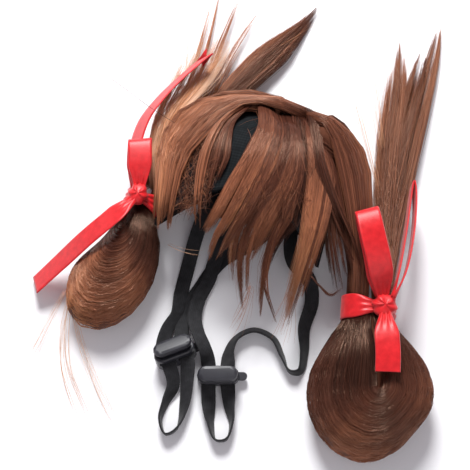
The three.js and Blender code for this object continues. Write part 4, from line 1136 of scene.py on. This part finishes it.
def loop_colours_with_painted_light(out, points, root, fold_highlight, light_lean, lobes, vary=0.025):
    """Colour along each hair of a loop, with painted light: painted shade at the tie and on the inner hairs,
    a painted highlight round the fold and outwards, and one side lighter as the light falls.

    Soft bands of tone run along the hairs, and lobes of painted sheen across them.
    """
    even = np.linspace(0, 1, points)[None]
    # Painted light: shade at the tie and on the inner hairs, a highlight round the fold, one side lighter as
    # the light falls.
    level = root + (fold_highlight - root) * np.sin(np.pi * even) ** 2 * (0.2 + 0.8 * out) + light_lean * (even - 0.5)
    # Lobes of painted sheen across the hairs.
    sheen = np.cos(2 * np.pi * lobes * (even - 0.36 - 0.08 * out))
    level = level + 0.13 * sheen * np.sin(np.pi * even) + RANDOM.normal(0, 0.04, out.shape)
    for bands in (1.7, 4.1, 9.7):
        level = level + vary * np.sin(2 * np.pi * (bands * out + RANDOM.uniform()))
    return toned(level)


def hair_object(name, bundles, thick, material):
    """One mesh of hairs from bundles of (lines, colours)."""
    lines = np.concatenate([lines for lines, colours in bundles])
    colours = np.concatenate([colours for lines, colours in bundles])
    radii = tapered(*lines.shape[:2], thick)
    carried(strand_object(name, lines, radii, colours, material), "hair")


def laid_bundles(names, points):
    """Hairs of the flat locks with these names."""
    bundles = []
    for name in names:
        lock = LAID[name]
        edges = lock["left"], lock["right"]
        lines, clump, places = sheet_lines(*edges, lock["hairs"], points, **lock["shape"])
        root, tip = (near + (far - near) * places for near, far in lock["tones"])
        bundles.append((lines, tinted(clump, points, root, tip, vary=lock.get("vary", 0.09))))
    return bundles


def make_side(side, fibre, core):
    """Hair swept from the parting to one tie."""
    name = side["name"]
    parts = [core_part(swept_rows(side, lock), shrink=0.7) for lock in side["swept"][1:]]
    core_object(f"side_{name}_core", f"side_hair_{name}", parts, core)
    lines, clump = swept_lines(side, HAIR_POINTS)
    bundles = [(lines, tinted(clump, HAIR_POINTS, *side["tone"])), *laid_bundles(side["laid"], HAIR_POINTS)]
    hair_object(f"side_{name}_hairs", bundles, HAIR_RADIUS, fibre)


def make_frizz(fibre):
    bundles = []
    for patch in FRIZZ:
        hairs = patch["hairs"]
        lines = frizz_lines(patch, HAIR_POINTS)
        level = RANDOM.choice([0.2, 0.6], hairs, p=[0.6, 0.4]) + RANDOM.normal(0, 0.1, hairs)
        bundles.append((lines, np.repeat(toned(level)[:, None], HAIR_POINTS, axis=1)))
    hair_object("frizz_hairs", bundles, HAIR_RADIUS * 0.8, fibre)


def make_fringe(fibre, core):
    rows = [np.array(falling_rows(lock)) - (0, 0, 1.5, 0, 0) for lock in FRINGE]
    core_object("fringe_core", "fringe", [core_part(lock, shrink=0.5, reach=0.55) for lock in rows], core)
    hair_object("fringe_hairs", laid_bundles(FRINGE_LAID, HAIR_POINTS), HAIR_RADIUS, fibre)


def make_ends(side, fibre, core):
    """The free ends of a pigtail, with the last tips packed."""
    name = side["name"]
    rows = [ends_rows(side["tie"], side["ends"], tip) for tip in side["ends"]["tips"]]
    packed = rows[-side["packed_ends"]:]
    parts = [core_part(lock, shrink=0.4, reach=0.66, clear=False) for lock in packed]
    core_object(f"ends_{name}_core", f"pigtail_ends_{name}", parts, core)
    bundles = laid_bundles(side["ends_laid"], ENDS_POINTS)
    for lock, (hairs, clumps, root, tip) in zip(rows, side["dress"]):
        lines, clump = lock_lines(lock, hairs, ENDS_POINTS, clumps, stagger=0.28, flare=0.2, clear=False)
        bundles.append((lines, tinted(clump, ENDS_POINTS, root, tip)))
    hair_object(f"ends_{name}_hairs", bundles, HAIR_RADIUS, fibre)


def make_mat(fibre, core):
    rows = [mat_rows(strip) for strip in MAT_STRIPS]
    core_object("back_hair_core", "back_hair", [core_part(lock, shrink=0.95) for lock in rows], core)
    bundles = []
    for lock in rows:
        lines, clump = lock_lines(lock, MAT_HAIRS, MAT_POINTS, clumps=8, stagger=0.1)
        bundles.append((lines, tinted(clump, MAT_POINTS, 0.3, 0.3)))
    hair_object("back_hair_hairs", bundles, MAT_RADIUS, fibre)


def make_loop(side, fibre, core):
    """A pigtail folded over below its tie."""
    name, tie, table, slit = side["name"], side["tie"], side["loop"], side["slit"]
    angles = np.arange(LOOP_SIDES) * 2 * np.pi / LOOP_SIDES
    share, layer = np.cos(angles) * LOOP_CORE_WIDTH, np.sign(np.sin(angles)) * LOOP_CORE_HEIGHT
    steps = np.linspace(table[0][0], table[-1][0] - LOOP_END, LOOP_STEPS)
    rings = [loop_surface(tie, table, slit, np.full(LOOP_SIDES, along), share, layer) for along in steps]
    parts = [mesh_from_grid(np.stack(rings))]
    core_object(f"loop_{name}_core", f"pigtail_loop_{name}", parts, core, sides=LOOP_SIDES)
    lines, out = loop_lines(tie, table, slit, side["loop_hairs"], LOOP_POINTS)
    # Hair tone with painted shade, painted highlight and painted sheen.
    colours = loop_colours_with_painted_light(out, LOOP_POINTS, *side["loop_tone_and_painted_light"])
    hair_object(f"loop_{name}_hairs", [(lines, colours)], HAIR_RADIUS, fibre)


def make_loose_hairs(fibre):
    """Single hairs and thin wisps that have come away from the locks."""
    bundles = []
    for route, hairs, spread, tone in LOOSE_HAIRS:
        route = np.asarray(route, float)
        grow = np.linspace(0.3, 1, len(route))[None, :, None]
        shifted = route + spread * RANDOM.normal(size=(hairs, 1, 3)) * grow
        shifted = shifted + 0.15 * spread * RANDOM.normal(size=(hairs, *route.shape))
        shares = np.linspace(0, 1, LOOSE_POINTS)[None] * RANDOM.uniform(0.75, 1, (hairs, 1))
        lines = settled(on_curve(shifted, shares))
        level = tone + RANDOM.normal(0, 0.07, hairs)
        bundles.append((lines, np.repeat(toned(level)[:, None], LOOSE_POINTS, axis=1)))
    hair_object("loose_hairs", bundles, HAIR_RADIUS * 0.7, fibre)


def smooth_shading():
    """A modifier's node group that shades faces smoothly."""
    group = bpy.data.node_groups.new("smooth shading", "GeometryNodeTree")
    group.interface.new_socket("Geometry", in_out="INPUT", socket_type="NodeSocketGeometry")
    group.interface.new_socket("Geometry", in_out="OUTPUT", socket_type="NodeSocketGeometry")
    source = add_node(group, "NodeGroupInput")
    shaded = add_node(group, "GeometryNodeSetShadeSmooth")
    result = add_node(group, "NodeGroupOutput")
    group.links.new(source.outputs[0], shaded.inputs["Geometry"])
    group.links.new(shaded.outputs[0], result.inputs[0])
    return group


def dress_locks(material):
    """Plastic with rounded edges on the pieces of both cord locks."""
    shading = smooth_shading()
    for place in ("front", "back"):
        for part, rounding in LOCK_ROUNDING.items():
            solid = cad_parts[f"cord_lock_{place}_{part}"]
            solid.data.materials.clear()
            solid.data.materials.append(material)
            solid.modifiers.new("weld", "WELD").merge_threshold = 0.01 * MM
            bevel = solid.modifiers.new("edges", "BEVEL")
            bevel.width = rounding * MM
            bevel.segments = 4
            bevel.limit_method = "ANGLE"
            solid.modifiers.new("smooth", "NODES").node_group = shading
            solid.modifiers.new("normals", "WEIGHTED_NORMAL")


make_camera()
elastic = elastic_material()
make_strap("front", STRAP_FRONT, elastic)
make_strap("back", STRAP_BACK, elastic)
make_stage()
dress_locks(plastic_material())
satin = satin_material()
for side in SIDES:
    make_ribbon(side, satin)
make_cap(cap_material())
fibre = hair_material("hair fibre", roughness=0.28, specular=0.65)
smooth = hair_material("smooth hair fibre", roughness=0.2, specular=1.0)
core = hair_core_material()
for side in SIDES:
    make_side(side, fibre, core)
make_frizz(fibre)
make_fringe(fibre, core)
for side in SIDES:
    make_loop(side, smooth, core)
for side in SIDES:
    make_ends(side, fibre, core)
make_loose_hairs(fibre)
make_mat(fibre, core)
